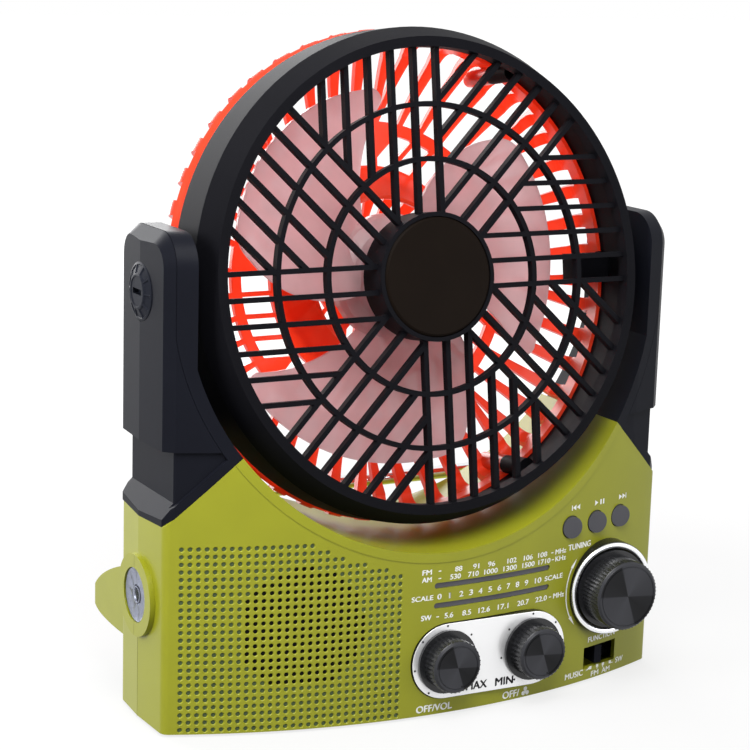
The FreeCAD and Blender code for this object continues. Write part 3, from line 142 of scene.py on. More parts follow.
def plastic(name, colour, rough=0.4, grain=2600.0, grain_depth=0.00004, vary=0.06, specular=0.5,
            coat=0.0, coat_rough=0.1, metallic=0.0):
    """Moulded plastic: faint mottling of the colour, grain in the surface and in the gloss."""
    mat, tree, out = new_material(name)
    bsdf = tree.nodes.new("ShaderNodeBsdfPrincipled")
    bsdf.inputs["Metallic"].default_value = metallic
    bsdf.inputs["Specular IOR Level"].default_value = specular
    bsdf.inputs["Coat Weight"].default_value = coat
    bsdf.inputs["Coat Roughness"].default_value = coat_rough
    broad = noise(tree, 60.0, 4.0)
    tint = ramp(tree, broad.outputs["Fac"], [(0.3, shade(colour, 1 - vary)), (0.7, shade(colour, 1 + vary))])
    tree.links.new(tint.outputs["Color"], bsdf.inputs["Base Color"])
    fine = noise(tree, grain, 2.0)
    gloss = tree.nodes.new("ShaderNodeMapRange")
    gloss.inputs["To Min"].default_value = max(0.02, rough - 0.05)
    gloss.inputs["To Max"].default_value = rough + 0.05
    tree.links.new(fine.outputs["Fac"], gloss.inputs["Value"])
    tree.links.new(gloss.outputs["Result"], bsdf.inputs["Roughness"])
    if grain_depth:
        bump = tree.nodes.new("ShaderNodeBump")
        bump.inputs["Strength"].default_value = 0.6
        bump.inputs["Distance"].default_value = grain_depth
        tree.links.new(fine.outputs["Fac"], bump.inputs["Height"])
        tree.links.new(bump.outputs["Normal"], bsdf.inputs["Normal"])
    tree.links.new(bsdf.outputs["BSDF"], out.inputs["Surface"])
    return mat


def metal(name, colour, rough, streak=None, vary=0.05):
    """Bare metal with faint stains, streaked where a stretch is given."""
    mat, tree, out = new_material(name)
    bsdf = tree.nodes.new("ShaderNodeBsdfPrincipled")
    bsdf.inputs["Metallic"].default_value = 1.0
    tex = noise(tree, 300.0, 4.0, 0.6, streak)
    tint = ramp(tree, tex.outputs["Fac"], [(0.3, shade(colour, 1 - vary)), (0.7, colour)])
    tree.links.new(tint.outputs["Color"], bsdf.inputs["Base Color"])
    gloss = tree.nodes.new("ShaderNodeMapRange")
    gloss.inputs["To Min"].default_value = max(0.02, rough - 0.04)
    gloss.inputs["To Max"].default_value = rough + 0.06
    tree.links.new(tex.outputs["Fac"], gloss.inputs["Value"])
    tree.links.new(gloss.outputs["Result"], bsdf.inputs["Roughness"])
    tree.links.new(bsdf.outputs["BSDF"], out.inputs["Surface"])
    return mat


# Shine of the tinted plastics at glancing angles
GLANCE_ROUGH = 0.3
GLANCE_BLEND = 0.2


def translucent(name, colour, rough, through, see_through, clear_colour):
    """Tinted plastic that glows when it is lit from behind."""
    mat, tree, out = new_material(name)
    bsdf = tree.nodes.new("ShaderNodeBsdfPrincipled")
    bsdf.inputs["Roughness"].default_value = rough
    tex = noise(tree, 90.0, 3.0)
    tint = ramp(tree, tex.outputs["Fac"], [(0.3, shade(colour, 0.94)), (0.7, shade(colour, 1.05))])
    tree.links.new(tint.outputs["Color"], bsdf.inputs["Base Color"])
    glow = tree.nodes.new("ShaderNodeBsdfTranslucent")
    tree.links.new(tint.outputs["Color"], glow.inputs["Color"])
    mix = tree.nodes.new("ShaderNodeMixShader")
    mix.inputs["Fac"].default_value = through
    tree.links.new(bsdf.outputs["BSDF"], mix.inputs[1])
    tree.links.new(glow.outputs["BSDF"], mix.inputs[2])
    clear = tree.nodes.new("ShaderNodeBsdfTransparent")
    clear.inputs["Color"].default_value = (*clear_colour, 1.0)
    final = tree.nodes.new("ShaderNodeMixShader")
    final.inputs["Fac"].default_value = see_through
    tree.links.new(mix.outputs["Shader"], final.inputs[1])
    tree.links.new(clear.outputs["BSDF"], final.inputs[2])
    gloss = tree.nodes.new("ShaderNodeBsdfAnisotropic")
    gloss.inputs["Roughness"].default_value = GLANCE_ROUGH
    glance = tree.nodes.new("ShaderNodeLayerWeight")
    glance.inputs["Blend"].default_value = GLANCE_BLEND
    glossy = tree.nodes.new("ShaderNodeMixShader")
    tree.links.new(glance.outputs["Fresnel"], glossy.inputs["Fac"])
    tree.links.new(final.outputs["Shader"], glossy.inputs[1])
    tree.links.new(gloss.outputs["BSDF"], glossy.inputs[2])
    tree.links.new(glossy.outputs["Shader"], out.inputs["Surface"])
    return mat


def clear_plastic(name, colour, rough, glance_blend):
    """Clear pane: tinted see-through with a gloss that grows at glancing angles."""
    mat, tree, out = new_material(name)
    tex = noise(tree, 200.0, 2.0)
    tint = ramp(tree, tex.outputs["Fac"], [(0.3, shade(colour, 0.97)), (0.7, colour)])
    clear = tree.nodes.new("ShaderNodeBsdfTransparent")
    tree.links.new(tint.outputs["Color"], clear.inputs["Color"])
    gloss = tree.nodes.new("ShaderNodeBsdfAnisotropic")
    gloss.inputs["Roughness"].default_value = rough
    glance = tree.nodes.new("ShaderNodeLayerWeight")
    glance.inputs["Blend"].default_value = glance_blend
    mix = tree.nodes.new("ShaderNodeMixShader")
    tree.links.new(glance.outputs["Facing"], mix.inputs["Fac"])
    tree.links.new(clear.outputs["BSDF"], mix.inputs[1])
    tree.links.new(gloss.outputs["BSDF"], mix.inputs[2])
    tree.links.new(mix.outputs["Shader"], out.inputs["Surface"])
    return mat


def math_node(tree, operation, *values):
    """Math node whose inputs are sockets or numbers."""
    node = tree.nodes.new("ShaderNodeMath")
    node.operation = operation
    for socket, value in zip(node.inputs, values):
        if isinstance(value, (int, float)):
            socket.default_value = value
        else:
            tree.links.new(value, socket)
    return node.outputs[0]


def mix_colour(tree, factor, first, second):
    """First colour where the factor is 0, second where it is 1."""
    node = tree.nodes.new("ShaderNodeMix")
    node.data_type = "RGBA"
    tree.links.new(factor, node.inputs["Factor"])
    tree.links.new(first, node.inputs["A"])
    tree.links.new(second, node.inputs["B"])
    return node.outputs["Result"]


# Painted reflection on a turned cap: light and dark wedges of shine in its colour, as degrees anticlockwise
# from +X, and shade
PAINTED_SHINE_WEDGES = ((-180, 0.80), (-150, 0.84), (-112, 1.0), (-80, 0.90), (-74, 0.86), (-70, 0.20),
          (-40, 0.15), (-7, 0.24), (-3, 0.66), (30, 0.76), (64, 1.0), (100, 0.92),
          (104, 0.86), (108, 0.15), (140, 0.18), (174, 0.26), (178, 0.80))
# Width of the plain band round the wedges, and how far in and how deep the cap's edge lies
CAP_BAND = 1.15
CAP_BEVEL = 0.12
CAP_RIM = 0.8
# Roughness and specular level of a knob's side, and how much the cap adds to each
SIDE_ROUGH, CAP_ROUGH_GAIN = 0.24, 0.14
SIDE_SPECULAR, CAP_SPECULAR_GAIN = 0.52, -0.4


def turned_knob(name, x, z, radius, face_y):
    """Knob plastic whose flat disc has the wedge-shaped shine of a turned cap painted into its colour, a
    painted reflection.
    """
    mat, tree, out = new_material(name)
    bsdf = tree.nodes.new("ShaderNodeBsdfPrincipled")
    coords = tree.nodes.new("ShaderNodeTexCoord")
    centred = tree.nodes.new("ShaderNodeVectorMath")
    centred.operation = "SUBTRACT"
    centred.inputs[1].default_value = point(x, face_y, z)
    tree.links.new(coords.outputs["Object"], centred.inputs[0])
    parts = tree.nodes.new("ShaderNodeSeparateXYZ")
    tree.links.new(centred.outputs["Vector"], parts.inputs[0])
    across, behind, above = parts.outputs
    squares = [math_node(tree, "MULTIPLY", socket, socket) for socket in (across, above)]
    distance = math_node(tree, "SQRT", math_node(tree, "ADD", *squares))
    in_edge = math_node(tree, "LESS_THAN", distance, (radius - CAP_BEVEL) * MM)
    in_front = math_node(tree, "LESS_THAN", behind, CAP_RIM * MM)
    in_band = math_node(tree, "LESS_THAN", distance, (radius - CAP_BAND) * MM)
    on_cap = math_node(tree, "MULTIPLY", in_edge, in_front)
    on_disc = math_node(tree, "MULTIPLY", in_band, on_cap)
    angle = math_node(tree, "ARCTAN2", above, across)
    turn = math_node(tree, "MULTIPLY_ADD", angle, 0.5 / math.pi, 0.5)
    # Painted reflection: the wedges of shine are put into the disc's base colour
    wedges = ramp(tree, turn, [(degrees / 360 + 0.5, shade(CAP_GREY, level)) for degrees, level in PAINTED_SHINE_WEDGES])
    mottle = noise(tree, 900.0, 3.0).outputs["Fac"]
    side = ramp(tree, mottle, [(0.3, shade(CAP_GREY, 0.2)), (0.7, shade(CAP_GREY, 0.3))])
    band = ramp(tree, mottle, [(0.3, shade(CAP_GREY, 0.62)), (0.7, shade(CAP_GREY, 0.72))])
    cap = mix_colour(tree, on_disc, band.outputs["Color"], wedges.outputs["Color"])
    tree.links.new(mix_colour(tree, on_cap, side.outputs["Color"], cap), bsdf.inputs["Base Color"])
    rough = math_node(tree, "MULTIPLY_ADD", on_cap, CAP_ROUGH_GAIN, SIDE_ROUGH)
    tree.links.new(rough, bsdf.inputs["Roughness"])
    specular = math_node(tree, "MULTIPLY_ADD", on_cap, CAP_SPECULAR_GAIN, SIDE_SPECULAR)
    tree.links.new(specular, bsdf.inputs["Specular IOR Level"])
    tree.links.new(bsdf.outputs["BSDF"], out.inputs["Surface"])
    return mat


# Main colours, and the materials
GREEN = (0.272, 0.280, 0.012)
DARK = (0.0068, 0.0074, 0.0112)
BLACK = (0.005, 0.005, 0.006)
CAP_GREY = (0.050, 0.051, 0.058)

green = plastic("green_plastic", GREEN, 0.38, 3000.0, 0.00003, 0.03, 0.25, 0.25, 0.25)
dark = plastic("dark_plastic", DARK, 0.42, 3200.0, 0.00004, 0.08, 0.05)
grille_black = plastic("grille_plastic", (0.0052, 0.0052, 0.0068), 0.5, 2600.0, 0.00003, 0.08, 0.025)
hub_black = plastic("hub_plastic", (0.0060, 0.0038, 0.0026), 0.5, 2200.0, 0.00003, 0.08, 0.03)
knob_black = plastic("knob_plastic", BLACK, 0.28, 2600.0, 0.00002, 0.08, 0.35)
button_grey = plastic("button_plastic", (0.056, 0.056, 0.065), 0.45, 2600.0, 0.00003, 0.06, 0.3)
red_clear = translucent("red_clear_plastic", (1.0, 0.125, 0.045), 0.25, 0.68, 0.14, (1.0, 0.45, 0.32))
blade_clear = translucent("blade_plastic", (0.80, 0.60, 0.62), 0.22, 0.5, 0.20, (1.0, 0.88, 0.89))
plate_silver = plastic("plate_silver", (0.93, 0.93, 0.94), 0.25, 60.0, 0.0, 0.01, 0.5, metallic=0.6)
ring_silver = metal("ring_silver", (0.90, 0.91, 0.93), 0.20)
chrome = metal("chrome", (0.92, 0.92, 0.93), 0.06)
reflector = metal("torch_reflector", (0.36, 0.37, 0.43), 0.3)
steel = metal("steel", (0.55, 0.55, 0.57), 0.3, (1.0, 1.0, 12.0))
rubber = plastic("rubber", (0.012, 0.012, 0.012), 0.8, 1800.0, 0.00006, 0.1, 0.2)
board_green = plastic("circuit_board", (0.02, 0.10, 0.04), 0.4, 900.0, 0.00004, 0.15, 0.5)
# Black of the speaker cone, also used for painted shade in the open speaker holes
cone_black_and_hole_shade = plastic("paper_cone", (0.006, 0.006, 0.006), 0.9, 1500.0, 0.00008, 0.1, 0.1)
cell_blue = plastic("cell_wrap", (0.02, 0.06, 0.22), 0.3, 900.0, 0.0, 0.05, 0.5)
window = plastic("dial_window", (0.075, 0.073, 0.088), 0.14, 500.0, 0.0, 0.12, 0.4)
lens = clear_plastic("torch_lens_plastic", (0.96, 0.97, 0.99), 0.05, 0.012)
led_white = plastic("led_plastic", (0.80, 0.78, 0.62), 0.25, 900.0, 0.0, 0.05, 0.5)
led_green = plastic("led_tinted", (0.010, 0.013, 0.007), 0.35, 900.0, 0.0, 0.05, 0.03)
# Grey-green of the dimple floors: painted shade of the hollows, darker than the green
dimple = plastic("dimple_floor_painted_shade", (0.066, 0.096, 0.040), 0.5, 900.0, 0.0, 0.08, 0.3)
cap_dark = plastic("cap_plastic", (0.0115, 0.0128, 0.0185), 0.40, 3200.0, 0.00002, 0.08, 0.04)
seam_green = plastic("seam_green", shade(GREEN, 0.3), 0.5, 900.0, 0.0, 0.05, 0.2)
white_print = plastic("white_print", (0.88, 0.89, 0.86), 0.5, 900.0, 0.0, 0.03, 0.2)
# Black of the print, also used for painted shade in the small knob pits and the front slot
black_print_and_shade = plastic("black_print_and_shade", (0.008, 0.008, 0.010), 0.5, 900.0, 0.0, 0.03, 0.2)
volume_black = turned_knob("volume_knob_plastic", KNOB_XS[0], KNOB_Z, KNOB_RADIUS, PLATE_Y - KNOB_HEIGHT)
speed_black = turned_knob("fan_speed_knob_plastic", KNOB_XS[1], KNOB_Z, KNOB_RADIUS, PLATE_Y - KNOB_HEIGHT)
tuning_black = turned_knob("tuning_knob_plastic", TUNING_X, TUNING_Z, TUNING_RADIUS,
                           TUNING_RING_Y - TUNING_HEIGHT)

node_materials = {
    "front_shell": green, "rear_shell": green, "battery_door": green, "rubber_feet": rubber,
    "body_screws": steel, "speaker_frame": steel, "speaker_cone": cone_black_and_hole_shade, "speaker_magnet": steel,
    "main_board": board_green, "volume_potentiometer": steel, "fan_speed_potentiometer": steel,
    "knob_plate": knob_black, "volume_knob": volume_black, "volume_shaft": steel,
    "fan_speed_knob": speed_black, "fan_speed_shaft": steel, "tuning_ring": knob_black,
    "tuning_knob": tuning_black, "tuning_shaft": led_white, "tuning_capacitor": led_white,
    "dial_windows": window, "dial_pointer": dark,
    "dial_rail": dark, "previous_button": button_grey, "play_button": button_grey, "next_button": button_grey,
    "button_board": board_green, "function_switch": knob_black, "function_slider": dark,
    "torch_reflector": reflector, "torch_lens": lens, "torch_led": led_green, "battery_cells": cell_blue,
    "power_board": board_green, "usb_socket": steel, "dc_socket": knob_black, "right_arm_base": dark,
    "left_arm_base": dark, "right_arm_cover": dark, "left_arm_cover": dark, "pivot_caps": dark,
    "front_grille": grille_black, "hub_cap": hub_black, "rear_grille": red_clear, "head_screws": steel,
    "pivot_trunnions": grille_black, "pivot_screws": steel, "fan_motor": steel, "motor_cover": red_clear,
    "motor_shaft": steel, "fan_blades": blade_clear, "antenna_swivel": chrome, "antenna_section_1": chrome,
    "antenna_section_2": chrome, "antenna_section_3": chrome, "antenna_mount": green, "antenna_clip": green,
}
for name, obj in nodes.items():
    obj.data.materials.clear()
    obj.data.materials.append(node_materials[name])


# Helpers for pieces added here

def add_object(name, mesh, material, body):
    """New piece in the scene, with its material, body and slot."""
    obj = bpy.data.objects.new(name, mesh)
    bpy.context.scene.collection.objects.link(obj)
    obj.data.materials.clear()
    obj.data.materials.append(material)
    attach(obj, body)
    return obj


def mesh_from(name, vertices, faces):
    """Mesh from points and lists of their numbers."""
    mesh = bpy.data.meshes.new(name)
    mesh.from_pydata([tuple(v) for v in vertices], [], faces)
    mesh.update()
    return mesh


PRINT_LIFT = 0.04
# A word's second copy is shifted by a share of its height, or by a fixed amount in narrow words
LETTER_WEIGHT = 0.10
NARROW_WORD = 1.2
NARROW_SHIFT = 0.05


def on_front(x, z):
    """Point on the print that lies on the bowed front."""
    return point(x, front_y(x) - PRINT_LIFT, z)


def flat_shape(outline_list, place):
    """Faces from outlines of (x, z) points, each point put in place by a function."""
    vertices, faces = [], []
    for outline in outline_list:
        start = len(vertices)
        vertices.extend(place(x, z) for x, z in outline)
        faces.append(list(range(start, start + len(outline))))
    return vertices, faces


def lettering(string, height):
    """Mesh of a line of text in its own plane, in millimetres."""
    curve = bpy.data.curves.new("text", "FONT")
    curve.body = string
    curve.size = height
    curve.resolution_u = 4
    holder = bpy.data.objects.new("text", curve)
    bpy.context.scene.collection.objects.link(holder)
    bpy.context.view_layer.update()
    mesh = bpy.data.meshes.new_from_object(holder)
    bpy.data.objects.remove(holder)
    return mesh


def print_text(name, words, base, height, material, place):
    """One piece holding the words of a row: each is (text, left x, right x), on one base line.

    Each word is laid down twice, a little apart, which gives the bold strokes of the real print.
    """
    joined = bmesh.new()
    for string, left, right in words:
        weight = LETTER_WEIGHT * height if right - left > NARROW_WORD else NARROW_SHIFT
        for shift in (0.0, weight):
            mesh = lettering(string, height)
            xs = [vertex.co.x for vertex in mesh.vertices]
            zs = [vertex.co.y for vertex in mesh.vertices]
            x_scale = (right - left - weight) / (max(xs) - min(xs))
            z_scale = height * (1 - LETTER_WEIGHT / 2) / (max(zs) - min(zs))
            for vertex in mesh.vertices:
                vertex.co = place(left + shift + (vertex.co.x - min(xs)) * x_scale,
                                  base + shift / 2 + (vertex.co.y - min(zs)) * z_scale)
            joined.from_mesh(mesh)
    mesh = bpy.data.meshes.new(name)
    joined.to_mesh(mesh)
    joined.free()
    return add_object(name, mesh, material, "radio_body")


def print_shapes(name, outlines, material, place, body="radio_body"):
    """One piece of flat shapes: print, seam lines and painted shade."""
    vertices, faces = flat_shape(outlines, place)
    return add_object(name, mesh_from(name, vertices, faces), material, body)


def circle(cx, cz, radius, count=24):
    """Outline of a disc as (x, z) points."""
    angles = [2 * math.pi * k / count for k in range(count)]
    return [(cx + radius * math.cos(a), cz + radius * math.sin(a)) for a in angles]


def bar(x, z, half_w, half_h):
    """Outline of an upright rectangle as (x, z) points."""
    left, right, low, high = x - half_w, x + half_w, z - half_h, z + half_h
    return [(left, low), (right, low), (right, high), (left, high)]


def triangle(x, z, size, way):
    """Outline of an arrow that points left or right."""
    return [(x, z + size), (x, z - size), (x + way * size * 1.6, z)]


def smooth_by_angle(mesh, degrees):
    """Smooth shading that breaks at edges sharper than an angle."""
    if mesh.has_custom_normals:
        for attribute in list(mesh.attributes):
            if attribute.name == "custom_normal":
                mesh.attributes.remove(attribute)
    mesh.shade_smooth()
    mesh.set_sharp_from_angle(angle=math.radians(degrees))


def closed_mesh(name, vertices, faces, degrees):
    """Smoothed mesh with its doubled points joined and its faces turned outwards."""
    mesh = mesh_from(name, vertices, faces)
    bm = bmesh.new()
    bm.from_mesh(mesh)
    bmesh.ops.remove_doubles(bm, verts=bm.verts, dist=0.000002)
    bmesh.ops.recalc_face_normals(bm, faces=bm.faces)
    bm.to_mesh(mesh)
    bm.free()
    smooth_by_angle(mesh, degrees)
    return mesh


def turned_mesh(name, profile, count=96):
    """Surface of revolution about +Y through the origin, from (radius, y) points in millimetres."""
    vertices, faces = [], []
    for k in range(count):
        a = 2 * math.pi * k / count
        for radius, y in profile:
            vertices.append(Vector((radius * math.cos(a) * MM, y * MM, radius * math.sin(a) * MM)))
    rows = len(profile)
    for k in range(count):
        n = (k + 1) % count
        for j in range(rows - 1):
            faces.append([k * rows + j, k * rows + j + 1, n * rows + j + 1, n * rows + j])
    return closed_mesh(name, vertices, faces, 40.0)


# Speaker grid: open holes over the cone and blind dimples round them

GRID_ROWS = 25
PIN_SIDES = 14
OPEN_DEPTH = 8.0
BLIND_DEPTH = 1.1
FILL_DEPTH = 0.55
FILL_GROW = 0.05
# Flare at a hole's mouth: its radius, where it starts over the face, and where it ends below
FLARE_RADIUS = 1.29
FLARE_TOP, FLARE_END = -0.2, 0.28
# First and last column of the open holes in each row
OPEN_ROWS = {3: (14, 16), 4: (12, 19), 5: (10, 20), 6: (9, 21), 7: (8, 22), 8: (8, 22),
             9: (8, 22), 10: (8, 23), 11: (8, 23), 12: (8, 23), 13: (8, 23), 14: (8, 22),
             15: (8, 22), 16: (9, 21), 17: (10, 20), 18: (11, 19)}
NO_HOLES = (99, -1)


def grid_last_column(row):
    """Last column of a row: the upper rows stop short of the dial."""
    return {0: 16, 1: 18, 2: 20, 3: 23, 4: 26}.get(row, 28)


def grid_places():
    """Every place in the grid as (x, z, whether the hole is open)."""
    places = []
    for row in range(GRID_ROWS):
        first, last = OPEN_ROWS.get(row, NO_HOLES)
        z = HOLE_Z0 - row * HOLE_PITCH
        for column in range(grid_last_column(row) + 1):
            places.append((HOLE_X0 + column * HOLE_PITCH, z, first <= column <= last))
    return places


def ring_on_front(x, z, radius, depth):
    """Circle of points that lies at a depth below the bowed face."""
    return [point(cx, front_y(cx) + depth, cz) for cx, cz in circle(x, z, radius, PIN_SIDES)]


def grid_cutters():
    """Pins with a flared head, one for each place in the grid."""
    vertices, faces = [], []
    for x, z, is_open in grid_places():
        start = len(vertices)
        bottom = OPEN_DEPTH if is_open else BLIND_DEPTH
        stages = ((FLARE_RADIUS, FLARE_TOP), (HOLE_RADIUS, FLARE_END), (HOLE_RADIUS, bottom))
        for radius, depth in stages:
            vertices.extend(ring_on_front(x, z, radius, depth))
        faces.append([start + k for k in range(PIN_SIDES)])
        faces.append([start + 2 * PIN_SIDES + k for k in reversed(range(PIN_SIDES))])
        for low in (start, start + PIN_SIDES):
            for k in range(PIN_SIDES):
                n = (k + 1) % PIN_SIDES
                faces.append([low + n, low + k, low + PIN_SIDES + k, low + PIN_SIDES + n])
    return mesh_from("grid_cutters", vertices, faces)


def grid_fill(name, for_open, material):
    """Discs of painted shade a little below the face, in the blind dimples or in the open holes."""
    vertices, faces = [], []
    for x, z, is_open in grid_places():
        if is_open == for_open:
            start = len(vertices)
            vertices.extend(ring_on_front(x, z, HOLE_RADIUS + FILL_GROW, FILL_DEPTH))
            faces.append([start + k for k in range(PIN_SIDES)])
    return add_object(name, mesh_from(name, vertices, faces), material, "radio_body")


def punched_front():
    """Front shell with the whole grid of speaker holes and dimples."""
    mesh = nodes["front_shell"].data.copy()
    shell = bpy.data.objects.new("front_shell_punched", mesh)
    bpy.context.scene.collection.objects.link(shell)
    cutter = bpy.data.objects.new("grid_cutters", grid_cutters())
    bpy.context.scene.collection.objects.link(cutter)
    weld = shell.modifiers.new("weld", "WELD")
    weld.merge_threshold = 0.000001
    cut = shell.modifiers.new("holes", "BOOLEAN")
    cut.operation = "DIFFERENCE"
    cut.solver = "EXACT"
    cut.object = cutter
    bpy.context.view_layer.update()
    graph = bpy.context.evaluated_depsgraph_get()
    result = bpy.data.meshes.new_from_object(shell.evaluated_get(graph))
    bpy.data.objects.remove(shell)
    bpy.data.objects.remove(cutter)
    smooth_by_angle(result, 35.0)
    piece = add_object("front_shell_punched", result, green, "radio_body")
    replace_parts(piece, "front_shell")
    return piece


punched_front()
# Grey-green discs in the blind dimples: painted shade of their hollows
grid_fill("speaker_dimple_painted_shade", False, dimple)
# Black discs just inside the open holes: painted shade of the dark space behind them, in the cone's colour
grid_fill("speaker_hole_painted_shade", True, cone_black_and_hole_shade)


# Dial lettering

# Each row: its base line, its height, and its words with their left and right ends
DIAL_ROWS = {
    "dial_fm": (58.95, 2.15, (
        ("FM", -12.5, -8.25), ("88", 2.1, 5.5), ("91", 10.4, 13.4), ("96", 17.5, 21.0), ("102", 26.9, 31.6),
        ("106", 35.2, 39.9), ("108", 42.6, 47.5), ("MHz", 51.9, 57.9))),
    "dial_am": (55.95, 2.15, (
        ("AM", -12.6, -8.2), ("530", 0.0, 4.9), ("710", 8.2, 13.3), ("1000", 15.8, 22.4),
        ("1300", 25.1, 31.9), ("1500", 34.6, 41.0), ("1710", 42.9, 49.4), ("KHz", 52.0, 57.9))),
    "dial_scale_words": (48.45, 2.1, (("SCALE", -16.8, -7.2), ("SCALE", 46.7, 56.6))),
    "dial_sw": (40.25, 2.25, (
        ("SW", -12.4, -7.7), ("5.6", -1.9, 2.1), ("8.5", 6.2, 10.4), ("12.6", 13.8, 19.4),
        ("17.1", 23.1, 28.5), ("20.7", 32.8, 38.9), ("22.0", 42.2, 48.4), ("MHz", 51.8, 57.9))),
}
for name, (base, height, words) in DIAL_ROWS.items():
    print_text(name, words, base, height, white_print, on_front)

# Left and right ends of the numbers 0 to 10
SCALE_SPANS = ((-5.5, -3.5), (-0.25, 0.6), (4.5, 6.4), (9.0, 10.9), (13.4, 15.4), (18.1, 20.0),
               (22.6, 24.5), (27.1, 28.9), (31.6, 33.5), (36.2, 38.1), (41.5, 45.0))
scale_words = [(str(k), *span) for k, span in enumerate(SCALE_SPANS)]
print_text("dial_scale", scale_words, 48.35, 2.35, white_print, on_front)

# Places of the short dashes
DASHES = ((-4.7, 60.0), (-4.6, 57.0), (-5.0, 41.3), (50.2, 60.0), (50.6, 57.0), (50.1, 41.3))
print_shapes("dial_dashes", [bar(x, z, 0.6, 0.2) for x, z in DASHES], white_print, on_front)


# Other words on the front

# Each piece: its base line, its height, and its words with their left and right ends
FRONT_WORDS = {
    "word_tuning": (59.2, 2.6, (("TUNING", 59.0, 72.0),)),
    "word_function": (16.9, 2.4, (("FUNCTION", 73.4, 90.1),)),
    "word_volume": (2.1, 3.0, (("OFF/VOL", -13.2, 3.1),)),
    "word_off": (1.7, 3.1, (("OFF/", 27.4, 36.0),)),
    "word_music": (3.2, 2.6, (("MUSIC", 60.7, 71.3),)),
    "word_fm_am": (1.5, 2.3, (("FM", 76.2, 80.9), ("AM", 82.8, 88.0))),
    "word_sw": (3.8, 2.5, (("SW", 91.5, 96.5),)),
}
for name, (base, height, words) in FRONT_WORDS.items():
    print_text(name, words, base, height, white_print, on_front)
print_shapes("band_marks", [
    [(72.7, 4.7), (75.0, 5.0), (75.0, 4.8), (76.4, 4.8), (76.4, 6.2), (75.0, 6.2), (74.3, 5.6)],
    bar(79.9, 5.5, 0.75, 0.6), bar(79.9, 4.5, 0.22, 0.5),
    bar(83.5, 5.4, 0.75, 0.6), bar(83.5, 4.4, 0.22, 0.5),
    [(87.2, 4.6), (89.9, 4.4), (89.9, 4.75), (88.7, 4.9), (88.5, 5.9), (87.2, 5.9)],
], white_print, on_front)


# Bright face of the knob plate

PLATE_FACE_Y = PLATE_Y - 0.25
PLATE_PRINT_LIFT = 0.02
# Rounding of its edges, half its flat thickness, its inset from the plate, and how far back its middle lies
PLATE_EDGE = 0.12
PLATE_HALF_FLAT = 0.03
PLATE_INSET = 0.1
PLATE_MIDDLE = 0.15
SHAFT_HOLE = 4.6
# Dots round each knob: their distance from its middle, their radius, and where they stand
PLATE_DOT_REACH, PLATE_DOT_RADIUS = 14.5, 0.48
PLATE_DOT_DEGREES = (41, 90, 140, 189, 238)


def stadium_outline(radius, count=32):
    """Outline of the knob plate as (x, z) points, anticlockwise."""
    right_end = [math.radians(-90 + 180 * k / count) for k in range(count + 1)]
    left_end = [math.radians(90 + 180 * k / count) for k in range(count + 1)]
    return ([(KNOB_XS[1] + radius * math.cos(a), KNOB_Z + radius * math.sin(a)) for a in right_end]
            + [(KNOB_XS[0] + radius * math.cos(a), KNOB_Z + radius * math.sin(a)) for a in left_end])


def plate_face():
    """Thin plate with rounded edges and two holes for the knob shafts."""
    curve = bpy.data.curves.new("plate", "CURVE")
    curve.dimensions = "2D"
    curve.fill_mode = "BOTH"
    curve.extrude = PLATE_HALF_FLAT
    curve.bevel_depth = PLATE_EDGE
    curve.bevel_resolution = 3
    outlines = [stadium_outline(PLATE_RADIUS - PLATE_EDGE - PLATE_INSET)]
    outlines += [circle(x, KNOB_Z, SHAFT_HOLE + PLATE_EDGE, 32) for x in KNOB_XS]
    for outline in outlines:
        spline = curve.splines.new("POLY")
        spline.points.add(len(outline) - 1)
        for spline_point, (x, z) in zip(spline.points, outline):
            spline_point.co = (x, z, 0.0, 1.0)
        spline.use_cyclic_u = True
    holder = bpy.data.objects.new("plate", curve)
    bpy.context.scene.collection.objects.link(holder)
    bpy.context.view_layer.update()
    mesh = bpy.data.meshes.new_from_object(holder)
    bpy.data.objects.remove(holder)
    for vertex in mesh.vertices:
        vertex.co = point(vertex.co.x, PLATE_FACE_Y + PLATE_MIDDLE - vertex.co.z, vertex.co.y)
    smooth_by_angle(mesh, 35.0)
    return add_object("knob_plate_face", mesh, plate_silver, "radio_body")


def on_plate(x, z):
    """Point on the print that lies on the plate's bright face."""
    return point(x, PLATE_FACE_Y - PLATE_PRINT_LIFT, z)


plate_face()
print_text("word_max", [("MAX", 8.8, 18.7)], 8.85, 3.45, black_print_and_shade, on_plate)
print_text("word_min", [("MIN", 22.4, 31.0)], 8.75, 3.45, black_print_and_shade, on_plate)
plate_dots = []
for knob_x in KNOB_XS:
    for degrees in PLATE_DOT_DEGREES:
        angle = math.radians(degrees)
        plate_dots.append(circle(knob_x + PLATE_DOT_REACH * math.cos(angle),
                                 KNOB_Z + PLATE_DOT_REACH * math.sin(angle), PLATE_DOT_RADIUS, 12))
print_shapes("plate_dots", plate_dots, black_print_and_shade, on_plate)


# Transport symbols over the buttons

SYMBOL_Z = 77.2
PREVIOUS_X, PLAY_X, NEXT_X = 62.5, 76.2, 90.3
symbols = [bar(PREVIOUS_X - 2.3, SYMBOL_Z, 0.25, 1.1), triangle(PREVIOUS_X - 0.05, SYMBOL_Z, 1.15, -1),
           triangle(PREVIOUS_X + 2.1, SYMBOL_Z, 1.15, -1),
           triangle(PLAY_X - 2.8, SYMBOL_Z, 1.15, 1), bar(PLAY_X + 0.7, SYMBOL_Z, 0.4, 1.1),
           bar(PLAY_X + 2.3, SYMBOL_Z, 0.4, 1.1),
           triangle(NEXT_X - 2.1, SYMBOL_Z, 1.15, 1), triangle(NEXT_X + 0.05, SYMBOL_Z, 1.15, 1),
           bar(NEXT_X + 2.3, SYMBOL_Z, 0.25, 1.1)]
print_shapes("transport_symbols", symbols, white_print, on_front)


# Curved double arrow beside the tuning knob

